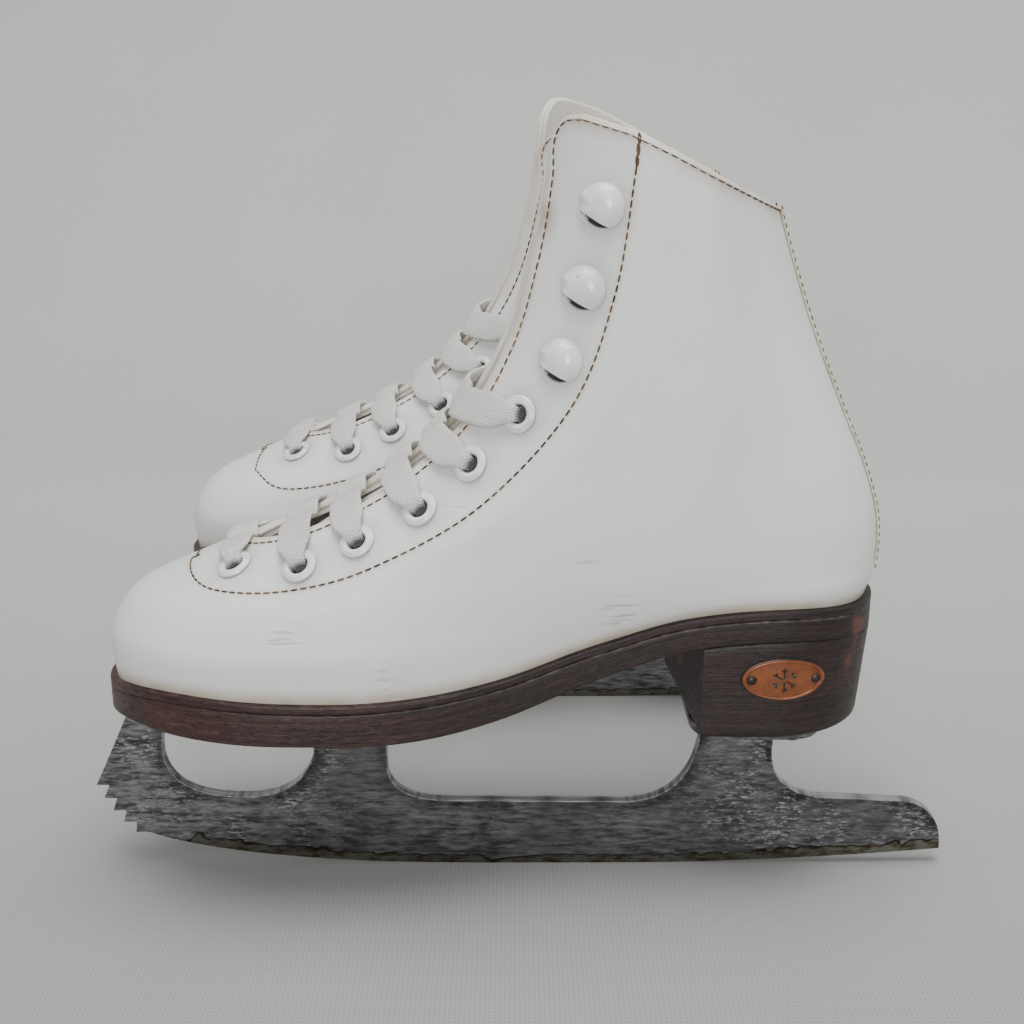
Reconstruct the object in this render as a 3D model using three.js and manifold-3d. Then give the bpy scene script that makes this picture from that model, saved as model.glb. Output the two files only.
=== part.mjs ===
// A pair of child's figure skates: leather boots on stacked soles, with steel runners.
// Millimetres, +Z up, toes towards -X, the ice at Z = 0. Each skate is modelled in its own frame,
// with x = 0 at the toe end of its sole, y = 0 in the plane of its runner, and the outer (lateral)
// side of the foot towards -y. The right skate is the mirror image of the left.
import * as THREE from "three";
import { ParametricGeometry } from "three/addons/geometries/ParametricGeometry.js";
import { mergeVertices } from "three/addons/utils/BufferGeometryUtils.js";
import Module from "manifold-3d";

const wasm = await Module();
wasm.setup();

// ---- Driving dimensions ----------------------------------------------------------------------
const soleLength = 206; // toe end to heel end of the sole
const shaftHeight = 141; // sole top at the ball up to the front of the collar
const ballHalfWidth = 33; // upper, at the ball of the foot
const pairSpacing = 110; // between the two runners, side by side

const gap = 0.3; // air kept between two pieces that touch
const layerGap = 0.6; // air between the layers of the upper, whose facets don't match exactly
const leather = 1.6; // upper wall
const stiffener = 1.0; // toe box, heel counter and facing tape inside the upper
const liningWall = 1.2;
const stripWall = 1.0; // back strip laid over the heel seam
const stripHalfWidth = 4.6;

const bladeHeight = 50.1; // ice to the top of the front stanchions
const heelBladeDrop = 2.4; // the rear stanchion ends this much lower
const bladeThickness = 3.2;
const runnerHeight = 20; // solid steel under the cut-outs
const plateThickness = 2.2;
const outsoleThickness = 9; // at the ball
const waistThinning = 3; // the outsole loses this much towards the heel
const toeRoll = 2.4; // its toe end curls down by this much
const midsoleThickness = 3;
const boardThickness = 2;
const planInset = 1.3; // clears the upper's facets, inside which the board and sock lie
const sockThickness = 2.4;
const weltReach = 2; // sole edge beyond the upper
const heelRise = 21.3; // heel seat above the ball
const heelTaper = 2; // the back of the heel leans in by this much
const shankWidth = 12;
const shankThickness = 1.2;

const eyeletHole = 2.5; // inner radius of the barrel
const eyeletBarrel = 3.1;
const eyeletFlange = 4.8;
const flangeStand = 1; // leather to the underside of the flange, clear of the leather's facets
const flangeThickness = 0.8;
const hookRadius = 6.1;
const hookStand = 1.6; // leather to the underside of the hook's cap
const hookRise = 2.6; // height of the domed cap
const hookStem = 2;
const laceWidth = 8.4;
const laceThickness = 1.2;
const laceCore = 1.8; // radius of the lace where it is gathered in an eyelet

const throatHalfGap = 10.5; // between the facing edges at the toe end of the throat
const throatFlare = 2.5; // added to that at the collar
const tongueThickness = 5;
const tongueClearance = 0.9; // tongue edge to facing edge, each side
const tongueDepth = 4; // the last's surface down to the face of the sunken tongue
const laceSag = 2; // how far a lace bar hangs between the facing edges

const screwHead = 3.5;
const screwHeadRise = 1.6;
const screwShank = 1.6;
const screwLength = 9;
const badgeHalfLength = 10.8;
const badgeHalfHeight = 5.5;
const badgeThickness = 0.8;

// ---- Stacked heights -------------------------------------------------------------------------
const soleBottomAtBall = bladeHeight + gap + plateThickness + gap;
const ballHeight = soleBottomAtBall + outsoleThickness + gap + midsoleThickness;
const heelBladeTop = bladeHeight - heelBladeDrop;
const heelBottom = heelBladeTop + gap + plateThickness + gap;
const lengthAt = (share) => share * soleLength;
const heightAt = (share) => ballHeight + share * shaftHeight;

// ---- Curves ----------------------------------------------------------------------------------
// A smooth height over a distance, through a few knots [distance, height].
function profile(knots) {
  const slope = knots.map((_, i) => {
    const before = knots[Math.max(i - 1, 0)];
    const after = knots[Math.min(i + 1, knots.length - 1)];
    return (after[1] - before[1]) / (after[0] - before[0]);
  });
  return (at) => {
    let i = 0;
    while (i < knots.length - 2 && at > knots[i + 1][0]) i += 1;
    const [x0, y0] = knots[i];
    const [x1, y1] = knots[i + 1];
    const span = x1 - x0;
    const u = THREE.MathUtils.clamp((at - x0) / span, 0, 1);
    const v = 1 - u;
    const ends = y0 * (1 + 2 * u) * v * v + y1 * (3 - 2 * u) * u * u;
    return ends + span * u * v * (slope[i] * v - slope[i + 1] * u);
  };
}

// Top of the sole over its length, as shares of the sole length and of the heel's rise.
const soleRise = profile([
  [0, -0.24], [0.06, -0.07], [0.13, 0], [0.39, 0], [0.52, 0.16], [0.645, 0.56],
  [0.75, 0.88], [0.875, 1.01], [1, 0.93],
]);
const soleTop = (x) => ballHeight + heelRise * soleRise(x / soleLength);
const outsoleUnder = (x) => {
  const share = x / soleLength;
  if (share < 0.3) return soleBottomAtBall - toeRoll * Math.max(0, 1 - share / 0.065) ** 2;
  const waist = THREE.MathUtils.smoothstep(share, 0.4, 0.78);
  return soleTop(x) - gap - midsoleThickness - outsoleThickness + waist * waistThinning;
};

// The last: a fan of closed rings, from the feather line on the sole (first) to the collar (last).
// Each ring runs from a front point to a back point [share of sole length, share of shaft height],
// with half widths at the ball, waist and heel as shares of the ball's half width, and the shares
// of the ring's length over which its front and back ends are rounded.
const lastRings = [
  { front: [0.01, -0.037], back: [0.99, 0.148], widths: [0.96, 0.63, 0.66], ends: [0.25, 0.13] },
  { front: [0.006, 0.035], back: [0.998, 0.185], widths: [1.01, 0.73, 0.71], ends: [0.25, 0.13] },
  { front: [0.016, 0.085], back: [1.0, 0.215], widths: [0.98, 0.78, 0.72], ends: [0.26, 0.14] },
  { front: [0.045, 0.135], back: [1.0, 0.245], widths: [0.94, 0.81, 0.73], ends: [0.28, 0.15] },
  { front: [0.1, 0.175], back: [0.997, 0.285], widths: [0.9, 0.82, 0.74], ends: [0.31, 0.16] },
  { front: [0.165, 0.215], back: [0.988, 0.335], widths: [0.87, 0.83, 0.74], ends: [0.34, 0.17] },
  { front: [0.27, 0.275], back: [0.97, 0.405], widths: [0.85, 0.83, 0.73], ends: [0.36, 0.19] },
  { front: [0.37, 0.355], back: [0.948, 0.475], widths: [0.83, 0.825, 0.71], ends: [0.38, 0.22] },
  { front: [0.455, 0.47], back: [0.922, 0.56], widths: [0.82, 0.82, 0.7], ends: [0.41, 0.26] },
  { front: [0.51, 0.61], back: [0.895, 0.655], widths: [0.815, 0.815, 0.69], ends: [0.44, 0.3] },
  { front: [0.54, 0.76], back: [0.872, 0.75], widths: [0.815, 0.815, 0.69], ends: [0.47, 0.32] },
  { front: [0.555, 0.89], back: [0.857, 0.815], widths: [0.82, 0.82, 0.7], ends: [0.49, 0.33] },
  { front: [0.562, 1.025], back: [0.852, 0.842], widths: [0.825, 0.82, 0.7], ends: [0.5, 0.34] },
];
const widthStations = [0.3, 0.65, 0.87];
const featherDrop = 1; // the last's bottom ring lies this far into the sole, and is trimmed off
const toeInset = 3; // the toe end lies this far towards the inner side of the foot
const ringCount = lastRings.length - 1;
const wallRows = 9; // facets of a wall, up and round
const ringSides = 18;
const smallSides = 6; // facets of a small turned piece
const facetSag = 1.4; // the most that a facet lies inside the true surface

const overRings = (read) => profile(lastRings.map((ring, i) => [i / ringCount, read(ring)]));
const frontX = overRings((ring) => lengthAt(ring.front[0]));
const frontZ = overRings((ring) => heightAt(ring.front[1]));
const backX = overRings((ring) => lengthAt(ring.back[0]));
const backZ = overRings((ring) => heightAt(ring.back[1]));
const frontEnd = overRings((ring) => ring.ends[0]);
const backEnd = overRings((ring) => ring.ends[1]);
const stationWidth = [0, 1, 2].map((i) => overRings((ring) => ring.widths[i] * ballHalfWidth));

const roundedEnd = (share) => Math.sqrt(Math.max(0, 1 - Math.max(0, 1 - share) ** 2));

function ringHalfWidth(s, t) {
  const [ball, waist, heel] = stationWidth.map((width) => width(s));
  const toWaist = THREE.MathUtils.smoothstep(t, widthStations[0], widthStations[1]);
  const toHeel = THREE.MathUtils.smoothstep(t, widthStations[1], widthStations[2]);
  const body = ball + (waist - ball) * toWaist + (heel - waist) * toHeel;
  return body * roundedEnd(t / frontEnd(s)) * roundedEnd((1 - t) / backEnd(s));
}

const centreLine = (x) => toeInset * Math.max(0, 1 - x / lengthAt(0.3)) ** 2;

// A point of the upper's outer surface: s from 0 at the sole to 1 at the collar, and phi round
// the ring from the front, over the outer side to the back at pi, and along the inner side.
function onRing(s, phi) {
  const t = (1 - Math.cos(phi)) / 2;
  const x = THREE.MathUtils.lerp(frontX(s), backX(s), t);
  const chord = THREE.MathUtils.lerp(frontZ(s), backZ(s), t);
  const soleChord = THREE.MathUtils.lerp(frontZ(0), backZ(0), t);
  const followSole = Math.max(0, 1 - s / 0.3) ** 2;
  const z = chord + followSole * (soleTop(x) - featherDrop - soleChord);
  const side = Math.sin(phi) >= 0 ? -1 : 1;
  return new THREE.Vector3(x, centreLine(x) + side * ringHalfWidth(s, t), z);
}

function ringNormal(s, phi) {
  const step = 1e-3;
  const low = Math.max(s - step, 0);
  const high = Math.min(s + step, 1);
  const alongRing = onRing(s, phi + step).sub(onRing(s, phi - step));
  const upwards = onRing(high, phi).sub(onRing(low, phi));
  return alongRing.cross(upwards).normalize();
}

const atDepth = (s, phi, depth) => onRing(s, phi).addScaledVector(ringNormal(s, phi), -depth);

// The place on the outer side (side -1) or inner side (1) of the upper that is seen at [x, z].
function onSide(x, z, side) {
  let s = 0.5;
  let phi = 1.5;
  let nearest = Infinity;
  for (let i = 0; i <= 40; i += 1) {
    for (let j = 1; j < 40; j += 1) {
      const here = onRing(i / 40, (Math.PI * j) / 40);
      const distance = Math.hypot(here.x - x, here.z - z);
      if (distance < nearest) {
        nearest = distance;
        s = i / 40;
        phi = (Math.PI * j) / 40;
      }
    }
  }
  for (let round = 0; round < 12; round += 1) {
    const step = 1e-4;
    const here = onRing(s, phi);
    const bySide = onRing(s + step, phi).sub(here).divideScalar(step);
    const byPhi = onRing(s, phi + step).sub(here).divideScalar(step);
    const det = bySide.x * byPhi.z - byPhi.x * bySide.z;
    s += ((x - here.x) * byPhi.z - byPhi.x * (z - here.z)) / det;
    phi += (bySide.x * (z - here.z) - (x - here.x) * bySide.z) / det;
    s = THREE.MathUtils.clamp(s, 0, 1);
    phi = THREE.MathUtils.clamp(phi, 1e-3, Math.PI);
  }
  const around = side < 0 ? phi : 2 * Math.PI - phi;
  return { s, phi: around, point: onRing(s, around), normal: ringNormal(s, around) };
}

// ---- Solids ----------------------------------------------------------------------------------
function toSolid(geometry) {
  const bare = geometry.index ? geometry.toNonIndexed() : geometry.clone();
  bare.deleteAttribute("normal");
  bare.deleteAttribute("uv");
  const merged = mergeVertices(bare, 1e-4);
  const corners = [];
  for (let i = 0; i < merged.index.count; i += 3) {
    const [a, b, c] = [0, 1, 2].map((k) => merged.index.getX(i + k));
    if (a !== b && b !== c && c !== a) corners.push(a, b, c);
  }
  const vertProperties = merged.attributes.position.array;
  const solid = (triVerts) => new wasm.Manifold(new wasm.Mesh({
    numProp: 3,
    vertProperties,
    triVerts: new Uint32Array(triVerts),
  }));
  const made = solid(corners);
  return made.volume() > 0 ? made : solid(corners.reverse());
}

function toGeometry(solid) {
  const mesh = solid.getMesh();
  const geometry = new THREE.BufferGeometry();
  geometry.setAttribute("position", new THREE.BufferAttribute(mesh.vertProperties, 3));
  geometry.setIndex(new THREE.BufferAttribute(mesh.triVerts, 1));
  geometry.computeVertexNormals();
  return geometry;
}

const joined = (solids) => solids.reduce((all, solid) => all.add(solid));
const without = (solid, cutters) => cutters.reduce((rest, cutter) => rest.subtract(cutter), solid);

// A closed surface from a function of its section (u, once round) and its run (v).
function lofted(point, sections, runs) {
  const place = (u, v, target) => target.copy(point(u, v));
  return toSolid(new ParametricGeometry(place, sections, runs));
}

// An outline in the x-z plane, extruded across y.
function sideSlab(outline, yLow, yHigh) {
  const shape = outline instanceof THREE.Shape ? outline : new THREE.Shape(outline);
  const slab = new THREE.ExtrudeGeometry(shape, { depth: yHigh - yLow, bevelEnabled: false });
  return toSolid(slab.rotateX(Math.PI / 2).translate(0, yHigh, 0));
}

// An outline in the x-y plane, extruded upwards.
function planSlab(outline, zLow, zHigh) {
  const slab = new THREE.ExtrudeGeometry(new THREE.Shape(outline), {
    depth: zHigh - zLow,
    bevelEnabled: false,
  });
  return toSolid(slab.translate(0, 0, zLow));
}

// A turned piece [radius, height] about a line through a point.
function turned(outline, sides, point, direction) {
  const up = new THREE.Vector3(0, 1, 0);
  const lathe = new THREE.LatheGeometry(outline, sides);
  lathe.applyQuaternion(new THREE.Quaternion().setFromUnitVectors(up, direction));
  return toSolid(lathe.translate(point.x, point.y, point.z));
}

const rod = (radius, low, high, sides, point, direction) => turned([
  new THREE.Vector2(0, low), new THREE.Vector2(radius, low),
  new THREE.Vector2(radius, high), new THREE.Vector2(0, high),
], sides, point, direction);

// ---- Cutters shared by the upper's pieces ----------------------------------------------------
const farSide = 80; // beyond every piece of one skate, across y
const farUp = heightAt(1) + 60;
const soleSteps = 14;

// The space below a height that follows the sole, or above it.
function followingSole(height, far) {
  const line = [];
  for (let i = 0; i <= soleSteps; i += 1) {
    const x = THREE.MathUtils.lerp(-20, soleLength + 20, i / soleSteps);
    line.push(new THREE.Vector2(x, height(THREE.MathUtils.clamp(x, 0, soleLength))));
  }
  const ends = [new THREE.Vector2(soleLength + 20, far), new THREE.Vector2(-20, far)];
  return [...line, ...ends];
}
const underSurface = (height) => sideSlab(followingSole(height, -60), -farSide, farSide);
const band = (low, high) => underSurface(high).subtract(underSurface(low));

// The space inside the last, at a depth below its outer surface. It runs on down through the sole,
// and on above the collar by a height. Every depth has its facets in the same places.
function insideLast(depth, above) {
  const rows = wallRows + 4;
  const below = heightAt(0.2);
  const centre = (s) => {
    const [front, back] = [0, Math.PI].map((phi) => atDepth(s, phi, depth));
    return front.add(back).divideScalar(2);
  };
  return lofted((u, v) => {
    const row = Math.round(v * rows);
    const s = THREE.MathUtils.clamp(row - 2, 0, wallRows) / wallRows;
    const onCap = row === 0 || row === rows;
    const place = onCap ? centre(s) : atDepth(s, 2 * Math.PI * (u % 1), depth);
    if (row < 2) place.z -= below;
    if (row > rows - 2) place.z += above;
    return place;
  }, ringSides, rows);
}

// A wall of the upper between two depths below its outer surface.
const upperWall = (outer, inner) => insideLast(outer, 0.01).subtract(insideLast(inner, 30));

// The throat: a wedge that opens towards the collar, from the toe end of the lacing.
const throatToe = heightAt(0.235);
const throatTop = farUp;
const throatHalfAt = (z) => throatHalfGap + throatFlare * ((z - throatToe) / (heightAt(1) - throatToe));
function throat(grow) {
  const bottom = throatToe - grow;
  const outline = [
    new THREE.Vector2(-throatHalfAt(throatToe) - grow, bottom),
    new THREE.Vector2(throatHalfAt(throatToe) + grow, bottom),
    new THREE.Vector2(throatHalfAt(throatTop) + grow, throatTop),
    new THREE.Vector2(-throatHalfAt(throatTop) - grow, throatTop),
  ];
  const wedge = new THREE.ExtrudeGeometry(new THREE.Shape(outline), {
    depth: lengthAt(0.55),
    bevelEnabled: false,
  });
  const acrossX = new THREE.Matrix4().makeBasis(
    new THREE.Vector3(0, 1, 0), new THREE.Vector3(0, 0, 1), new THREE.Vector3(1, 0, 0),
  );
  return toSolid(wedge.applyMatrix4(acrossX).translate(lengthAt(0.12), 0, 0));
}

// The facing: the reinforced band along the throat that the eyelets and hooks go through,
// whose rear edge runs from the toe end of the lacing up to the collar.
const facingEdge = new THREE.CatmullRomCurve3([
  [0.1, 0.2], [0.125, 0.185], [0.18, 0.165], [0.27, 0.19], [0.37, 0.245], [0.49, 0.36],
  [0.595, 0.53], [0.645, 0.715], [0.668, 0.9], [0.68, 1.2],
].map(([x, z]) => new THREE.Vector3(lengthAt(x), 0, heightAt(z))));
function facingZone(grow) {
  const edge = facingEdge.getPoints(9).map((p, i, all) => {
    const next = all[Math.min(i + 1, all.length - 1)];
    const last = all[Math.max(i - 1, 0)];
    const along = new THREE.Vector2(next.x - last.x, next.z - last.z).normalize();
    return new THREE.Vector2(p.x + along.y * grow, p.z - along.x * grow);
  });
  const front = [new THREE.Vector2(-20, edge.at(-1).y), new THREE.Vector2(-20, edge[0].y)];
  return sideSlab([...edge, ...front], -farSide, farSide);
}

// The fold: a plane across the shaft, from the throat above the last eyelet up to the collar.
// In front of it and above it each quarter can be pulled outwards.
const foldLow = new THREE.Vector2(lengthAt(0.505), heightAt(0.573));
const foldHigh = new THREE.Vector2(lengthAt(0.825), heightAt(0.86));
const foldAlong = foldHigh.clone().sub(foldLow).normalize();
const foldUp = new THREE.Vector2(-foldAlong.y, foldAlong.x);
function aboveFold(offset) {
  const low = foldLow.clone().addScaledVector(foldUp, offset);
  const high = low.clone().addScaledVector(foldAlong, soleLength);
  return sideSlab([
    low, high, new THREE.Vector2(high.x, farUp + soleLength),
    new THREE.Vector2(-20, farUp + soleLength), new THREE.Vector2(-20, low.y),
  ], -farSide, farSide);
}
const lateralHalf = sideSlab([
  new THREE.Vector2(-20, -20), new THREE.Vector2(soleLength + 20, -20),
  new THREE.Vector2(soleLength + 20, farUp), new THREE.Vector2(-20, farUp),
], -farSide, -gap / 2);

// ---- Eyelets, hooks and lace -----------------------------------------------------------------
const eyeletPlaces = [
  [0.189, 0.212], [0.276, 0.232], [0.347, 0.277], [0.423, 0.337], [0.484, 0.417], [0.542, 0.507],
];
// Each lace bar crosses this much nearer the toe than straight over the instep.
const laceSlants = [0, 0, 1, 2, 5, 9];
const hookPlaces = [[0.592, 0.602], [0.617, 0.725], [0.636, 0.86]];
const onUpper = ([x, z], side) => onSide(lengthAt(x), heightAt(z), side);

const tapeTop = leather + layerGap; // depth of the tape's outer face
const tapeUnder = tapeTop + stiffener;

function eyelet(place) {
  return turned([
    new THREE.Vector2(eyeletHole, -tapeUnder + 0.1),
    new THREE.Vector2(eyeletBarrel, -tapeUnder + 0.1),
    new THREE.Vector2(eyeletBarrel, flangeStand),
    new THREE.Vector2(eyeletFlange, flangeStand),
    new THREE.Vector2(eyeletHole, flangeStand + flangeThickness),
    new THREE.Vector2(eyeletHole, -tapeUnder + 0.1),
  ], smallSides, place.point, place.normal);
}

function hook(place) {
  return turned([
    new THREE.Vector2(0, -tapeUnder + 0.1),
    new THREE.Vector2(hookStem, -tapeUnder + 0.1),
    new THREE.Vector2(hookStem, hookStand),
    new THREE.Vector2(hookRadius, hookStand),
    new THREE.Vector2(hookRadius - 0.4, hookStand + 0.5 * hookRise),
    new THREE.Vector2(0.5 * hookRadius, hookStand + hookRise),
    new THREE.Vector2(0, hookStand + hookRise),
  ], smallSides, place.point, place.normal);
}

const barrelHole = (place, radius) => rod(radius, -8, 3, smallSides, place.point, place.normal);

// One bar of the lace crosses the throat between the two eyelets of a pair: a flat strap over the
// leather and the tongue, gathered into a round core where it goes down each eyelet.
const instepSlope = new THREE.Vector2(0.52, 0.85);
function crest(place, slant) {
  const x = place.point.x - slant * instepSlope.x;
  const z = place.point.z - slant * instepSlope.y;
  let best = null;
  for (let s = 0; s <= 1; s += 0.005) {
    const distance = Math.hypot(frontX(s) - x, frontZ(s) - z);
    if (!best || distance < best.distance) best = { s, distance };
  }
  return new THREE.Vector2(frontX(best.s), frontZ(best.s));
}

function strapFrames(share, side, slant, steps) {
  const start = onUpper(share, side);
  const top = crest(start, slant);
  const frames = [];
  for (let i = 0; i < steps; i += 1) {
    const across = 1 - (1 - i / steps) ** 2;
    const x = THREE.MathUtils.lerp(start.point.x, top.x, across);
    const z = THREE.MathUtils.lerp(start.point.z, top.y, across);
    frames.push(onSide(x, z, side));
  }
  return { frames, top };
}

const strapSteps = 3;
function laceBar(share, slant) {
  const outer = strapFrames(share, -1, slant, strapSteps);
  const inner = strapFrames(share, 1, slant, strapSteps);
  const ridge = new THREE.Vector3(outer.top.x, 0, outer.top.y);
  const places = [...outer.frames, null, ...inner.frames.reverse()];
  const before = outer.frames.at(-1);
  const after = inner.frames[0];
  ridge.y = centreLine(ridge.x);
  const ridgeNormal = before.normal.clone().add(after.normal).normalize();
  places[strapSteps] = { point: ridge.addScaledVector(ridgeNormal, -laceSag), normal: ridgeNormal };
  const centres = places.map((place) => place.point);
  const last = places.length - 1;
  const rows = last + 2;
  return lofted((u, v) => {
    const row = Math.round(v * rows);
    const i = THREE.MathUtils.clamp(row - 1, 0, last);
    const along = centres[Math.min(i + 1, last)].clone().sub(centres[Math.max(i - 1, 0)]);
    const { point, normal } = places[i];
    const wide = along.cross(normal).normalize();
    const lift = flangeStand + flangeThickness + 2 * gap;
    const centre = point.clone().addScaledVector(normal, lift + laceThickness / 2);
    if (row === 0 || row === rows) return centre;
    const corner = Math.round(u * 4) % 4;
    const fromCentre = i === 0 || i === last ? 0.6 : 1;
    centre.addScaledVector(wide, ((corner === 0 || corner === 3) ? -0.5 : 0.5) * fromCentre * laceWidth);
    return centre.addScaledVector(normal, (corner < 2 ? -0.5 : 0.5) * laceThickness);
  }, 4, rows);
}

const laceUnderDepth = tapeUnder + facetSag; // where the lace runs inside the boot
function laceCoreAt(place) {
  const top = flangeStand + flangeThickness + 2 * gap + 0.5 * laceThickness;
  const foot = -laceUnderDepth - 0.5 * laceThickness;
  return rod(laceCore, foot, top, smallSides, place.point, place.normal);
}

// Inside the boot the lace runs from one eyelet of a side to the next.
function laceUnderRun(from, to) {
  const steps = 2;
  const rows = steps + 2;
  return lofted((u, v) => {
    const row = Math.round(v * rows);
    const share = THREE.MathUtils.clamp(row - 1, 0, steps) / steps;
    const s = THREE.MathUtils.lerp(from.s, to.s, share);
    const phi = THREE.MathUtils.lerp(from.phi, to.phi, share);
    const normal = ringNormal(s, phi);
    const along = atDepth(to.s, to.phi, 0).sub(atDepth(from.s, from.phi, 0)).normalize();
    const wide = along.cross(normal).normalize();
    const centre = onRing(s, phi).addScaledVector(normal, -laceUnderDepth - laceThickness / 2);
    if (row === 0 || row === rows) return centre;
    const corner = Math.round(u * 4) % 4;
    centre.addScaledVector(wide, ((corner === 0 || corner === 3) ? -0.5 : 0.5) * 2 * laceCore);
    return centre.addScaledVector(normal, (corner < 2 ? -0.5 : 0.5) * laceThickness);
  }, 4, rows);
}

function makeLace() {
  const outer = eyeletPlaces.map((share) => onUpper(share, -1));
  const inner = eyeletPlaces.map((share) => onUpper(share, 1));
  const bars = eyeletPlaces.map((share, i) => laceBar(share, laceSlants[i]));
  const cores = [...outer, ...inner].map(laceCoreAt);
  const runs = outer.slice(1).map((_, i) => {
    const side = i % 2 === 0 ? outer : inner;
    return laceUnderRun(side[i], side[i + 1]);
  });
  return joined([...bars, ...cores, ...runs]);
}

// ---- The upper -------------------------------------------------------------------------------
const halves = { lateral: -1, medial: 1 };
const allEyelets = [-1, 1].flatMap((side) => eyeletPlaces.map((share) => onUpper(share, side)));
const lowHooks = [-1, 1].map((side) => onUpper(hookPlaces[0], side));
const topHooks = [-1, 1].flatMap((side) => hookPlaces.slice(1).map((share) => onUpper(share, side)));
const holes = joined([
  ...allEyelets.map((place) => barrelHole(place, eyeletBarrel + gap)),
  ...[...lowHooks, ...topHooks].map((place) => barrelHole(place, hookStem + gap)),
]);

const underUpper = underSurface((x) => soleTop(x) + gap);
const wall = without(upperWall(0, leather), [throat(0), holes, underUpper]);
const upFold = aboveFold(gap / 2);
const overFold = aboveFold(-gap / 2);
const liningTop = tapeUnder + layerGap;
const liningUnder = liningTop + liningWall;
const boardTop = (x) => soleTop(x) + gap + boardThickness;
const overBoard = underSurface((x) => boardTop(x) + gap);
const medialHalf = (solid) => solid.subtract(lateralHalf.translate([0, gap, 0]));

const oneSide = (solid, side) => (side < 0 ? solid.intersect(lateralHalf) : medialHalf(solid));

const makeUpper = () => wall.subtract(overFold);

// A quarter is leather alone along the hook facing, and leather with its lining behind it.
function makeQuarter(side) {
  const lined = upperWall(leather - 0.2, liningUnder).subtract(facingZone(gap));
  return oneSide(wall.add(without(lined, [throat(0)])).intersect(upFold), side);
}

function makeTape(side, above, fittings) {
  const strip = upperWall(tapeTop, tapeUnder).intersect(facingZone(0)).subtract(throat(0.4));
  const half = oneSide(above ? strip.intersect(upFold) : strip.subtract(overFold), side);
  return without(half, fittings.map((place) => barrelHole(place, eyeletHole)));
}

function makeEyelets(side) {
  const places = eyeletPlaces.map((share) => onUpper(share, side));
  const lowHook = onUpper(hookPlaces[0], side);
  return joined([makeTape(side, false, places), ...places.map(eyelet), hook(lowHook)]);
}

function makeHooks(side) {
  const places = hookPlaces.slice(1).map((share) => onUpper(share, side));
  return joined([makeTape(side, true, []), ...places.map(hook)]);
}

function makeLining() {
  const whole = upperWall(liningTop, liningUnder);
  return without(whole, [facingZone(liningTop), throat(gap), overFold, overBoard]);
}

const toePuffEnd = lengthAt(0.12);
const counterStart = lengthAt(0.7);
const counterTop = heightAt(0.4);
function boxed(xLow, xHigh, zLow, zHigh) {
  return sideSlab([
    new THREE.Vector2(xLow, zLow), new THREE.Vector2(xHigh, zLow),
    new THREE.Vector2(xHigh, zHigh), new THREE.Vector2(xLow, zHigh),
  ], -farSide, farSide);
}
const stiffening = () => upperWall(tapeTop, tapeUnder).subtract(overBoard);
const makeToePuff = () => without(stiffening().intersect(boxed(-20, toePuffEnd, 0, farUp)), [
  facingZone(gap), throat(gap),
]);
const makeCounter = () => stiffening().intersect(boxed(counterStart, soleLength + 20, 0, counterTop));

function makeBackstay() {
  const strip = upperWall(-gap - stripWall, -gap);
  const low = (x) => soleTop(x) + 1;
  const slot = planSlab([
    new THREE.Vector2(lengthAt(0.78), -stripHalfWidth), new THREE.Vector2(soleLength + 20, -stripHalfWidth),
    new THREE.Vector2(soleLength + 20, stripHalfWidth), new THREE.Vector2(lengthAt(0.78), stripHalfWidth),
  ], 0, farUp);
  return strip.intersect(slot).subtract(underSurface(low));
}

// ---- The tongue ------------------------------------------------------------------------------
const tongueHinge = heightAt(0.575);
const tongueTop = heightAt(0.88);
const ringAtHeight = (z) => {
  let s = 0;
  while (s < 1 && frontZ(s) < z) s += 0.001;
  return s;
};

// A padded strap of oval section that follows the front of the last, just inside the leather.
function tongueSolid(sFrom, sTo, steps) {
  const sides = 10;
  const rows = steps + 2;
  return lofted((u, v) => {
    const row = Math.round(v * rows);
    const s = THREE.MathUtils.lerp(sFrom, sTo, THREE.MathUtils.clamp(row - 1, 0, steps) / steps);
    const half = throatHalfAt(Math.max(frontZ(s), throatToe)) - tongueClearance;
    const normal = ringNormal(s, 0);
    const front = new THREE.Vector3(frontX(s), 0, frontZ(s));
    const centre = front.addScaledVector(normal, -tongueDepth - tongueThickness / 2);
    if (row === 0 || row === rows) return centre;
    const angle = -2 * Math.PI * Math.round(u * sides) / sides;
    const squared = (value) => Math.sign(value) * Math.sqrt(Math.abs(value));
    centre.y += half * squared(Math.cos(angle));
    return centre.addScaledVector(normal, (tongueThickness / 2) * squared(Math.sin(angle)));
  }, sides, rows);
}

// ---- Sole, heel and blade --------------------------------------------------------------------
function soleOutline(grow, count) {
  const outline = [];
  for (let i = 0; i < count; i += 1) {
    const phi = (2 * Math.PI * i) / count;
    const step = 1e-3;
    const along = onRing(0, phi + step).sub(onRing(0, phi - step)).normalize();
    const here = onRing(0, phi);
    const outwards = new THREE.Vector2(along.y, -along.x).normalize();
    outline.push(new THREE.Vector2(here.x + outwards.x * grow, here.y + outwards.y * grow));
  }
  return outline.reverse();
}
const outlineSteps = 24;
const solePlan = (grow) => planSlab(soleOutline(grow, outlineSteps), 0, farUp);
const soleLayer = (grow, low, high) => solePlan(grow).intersect(band(low, high));

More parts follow.
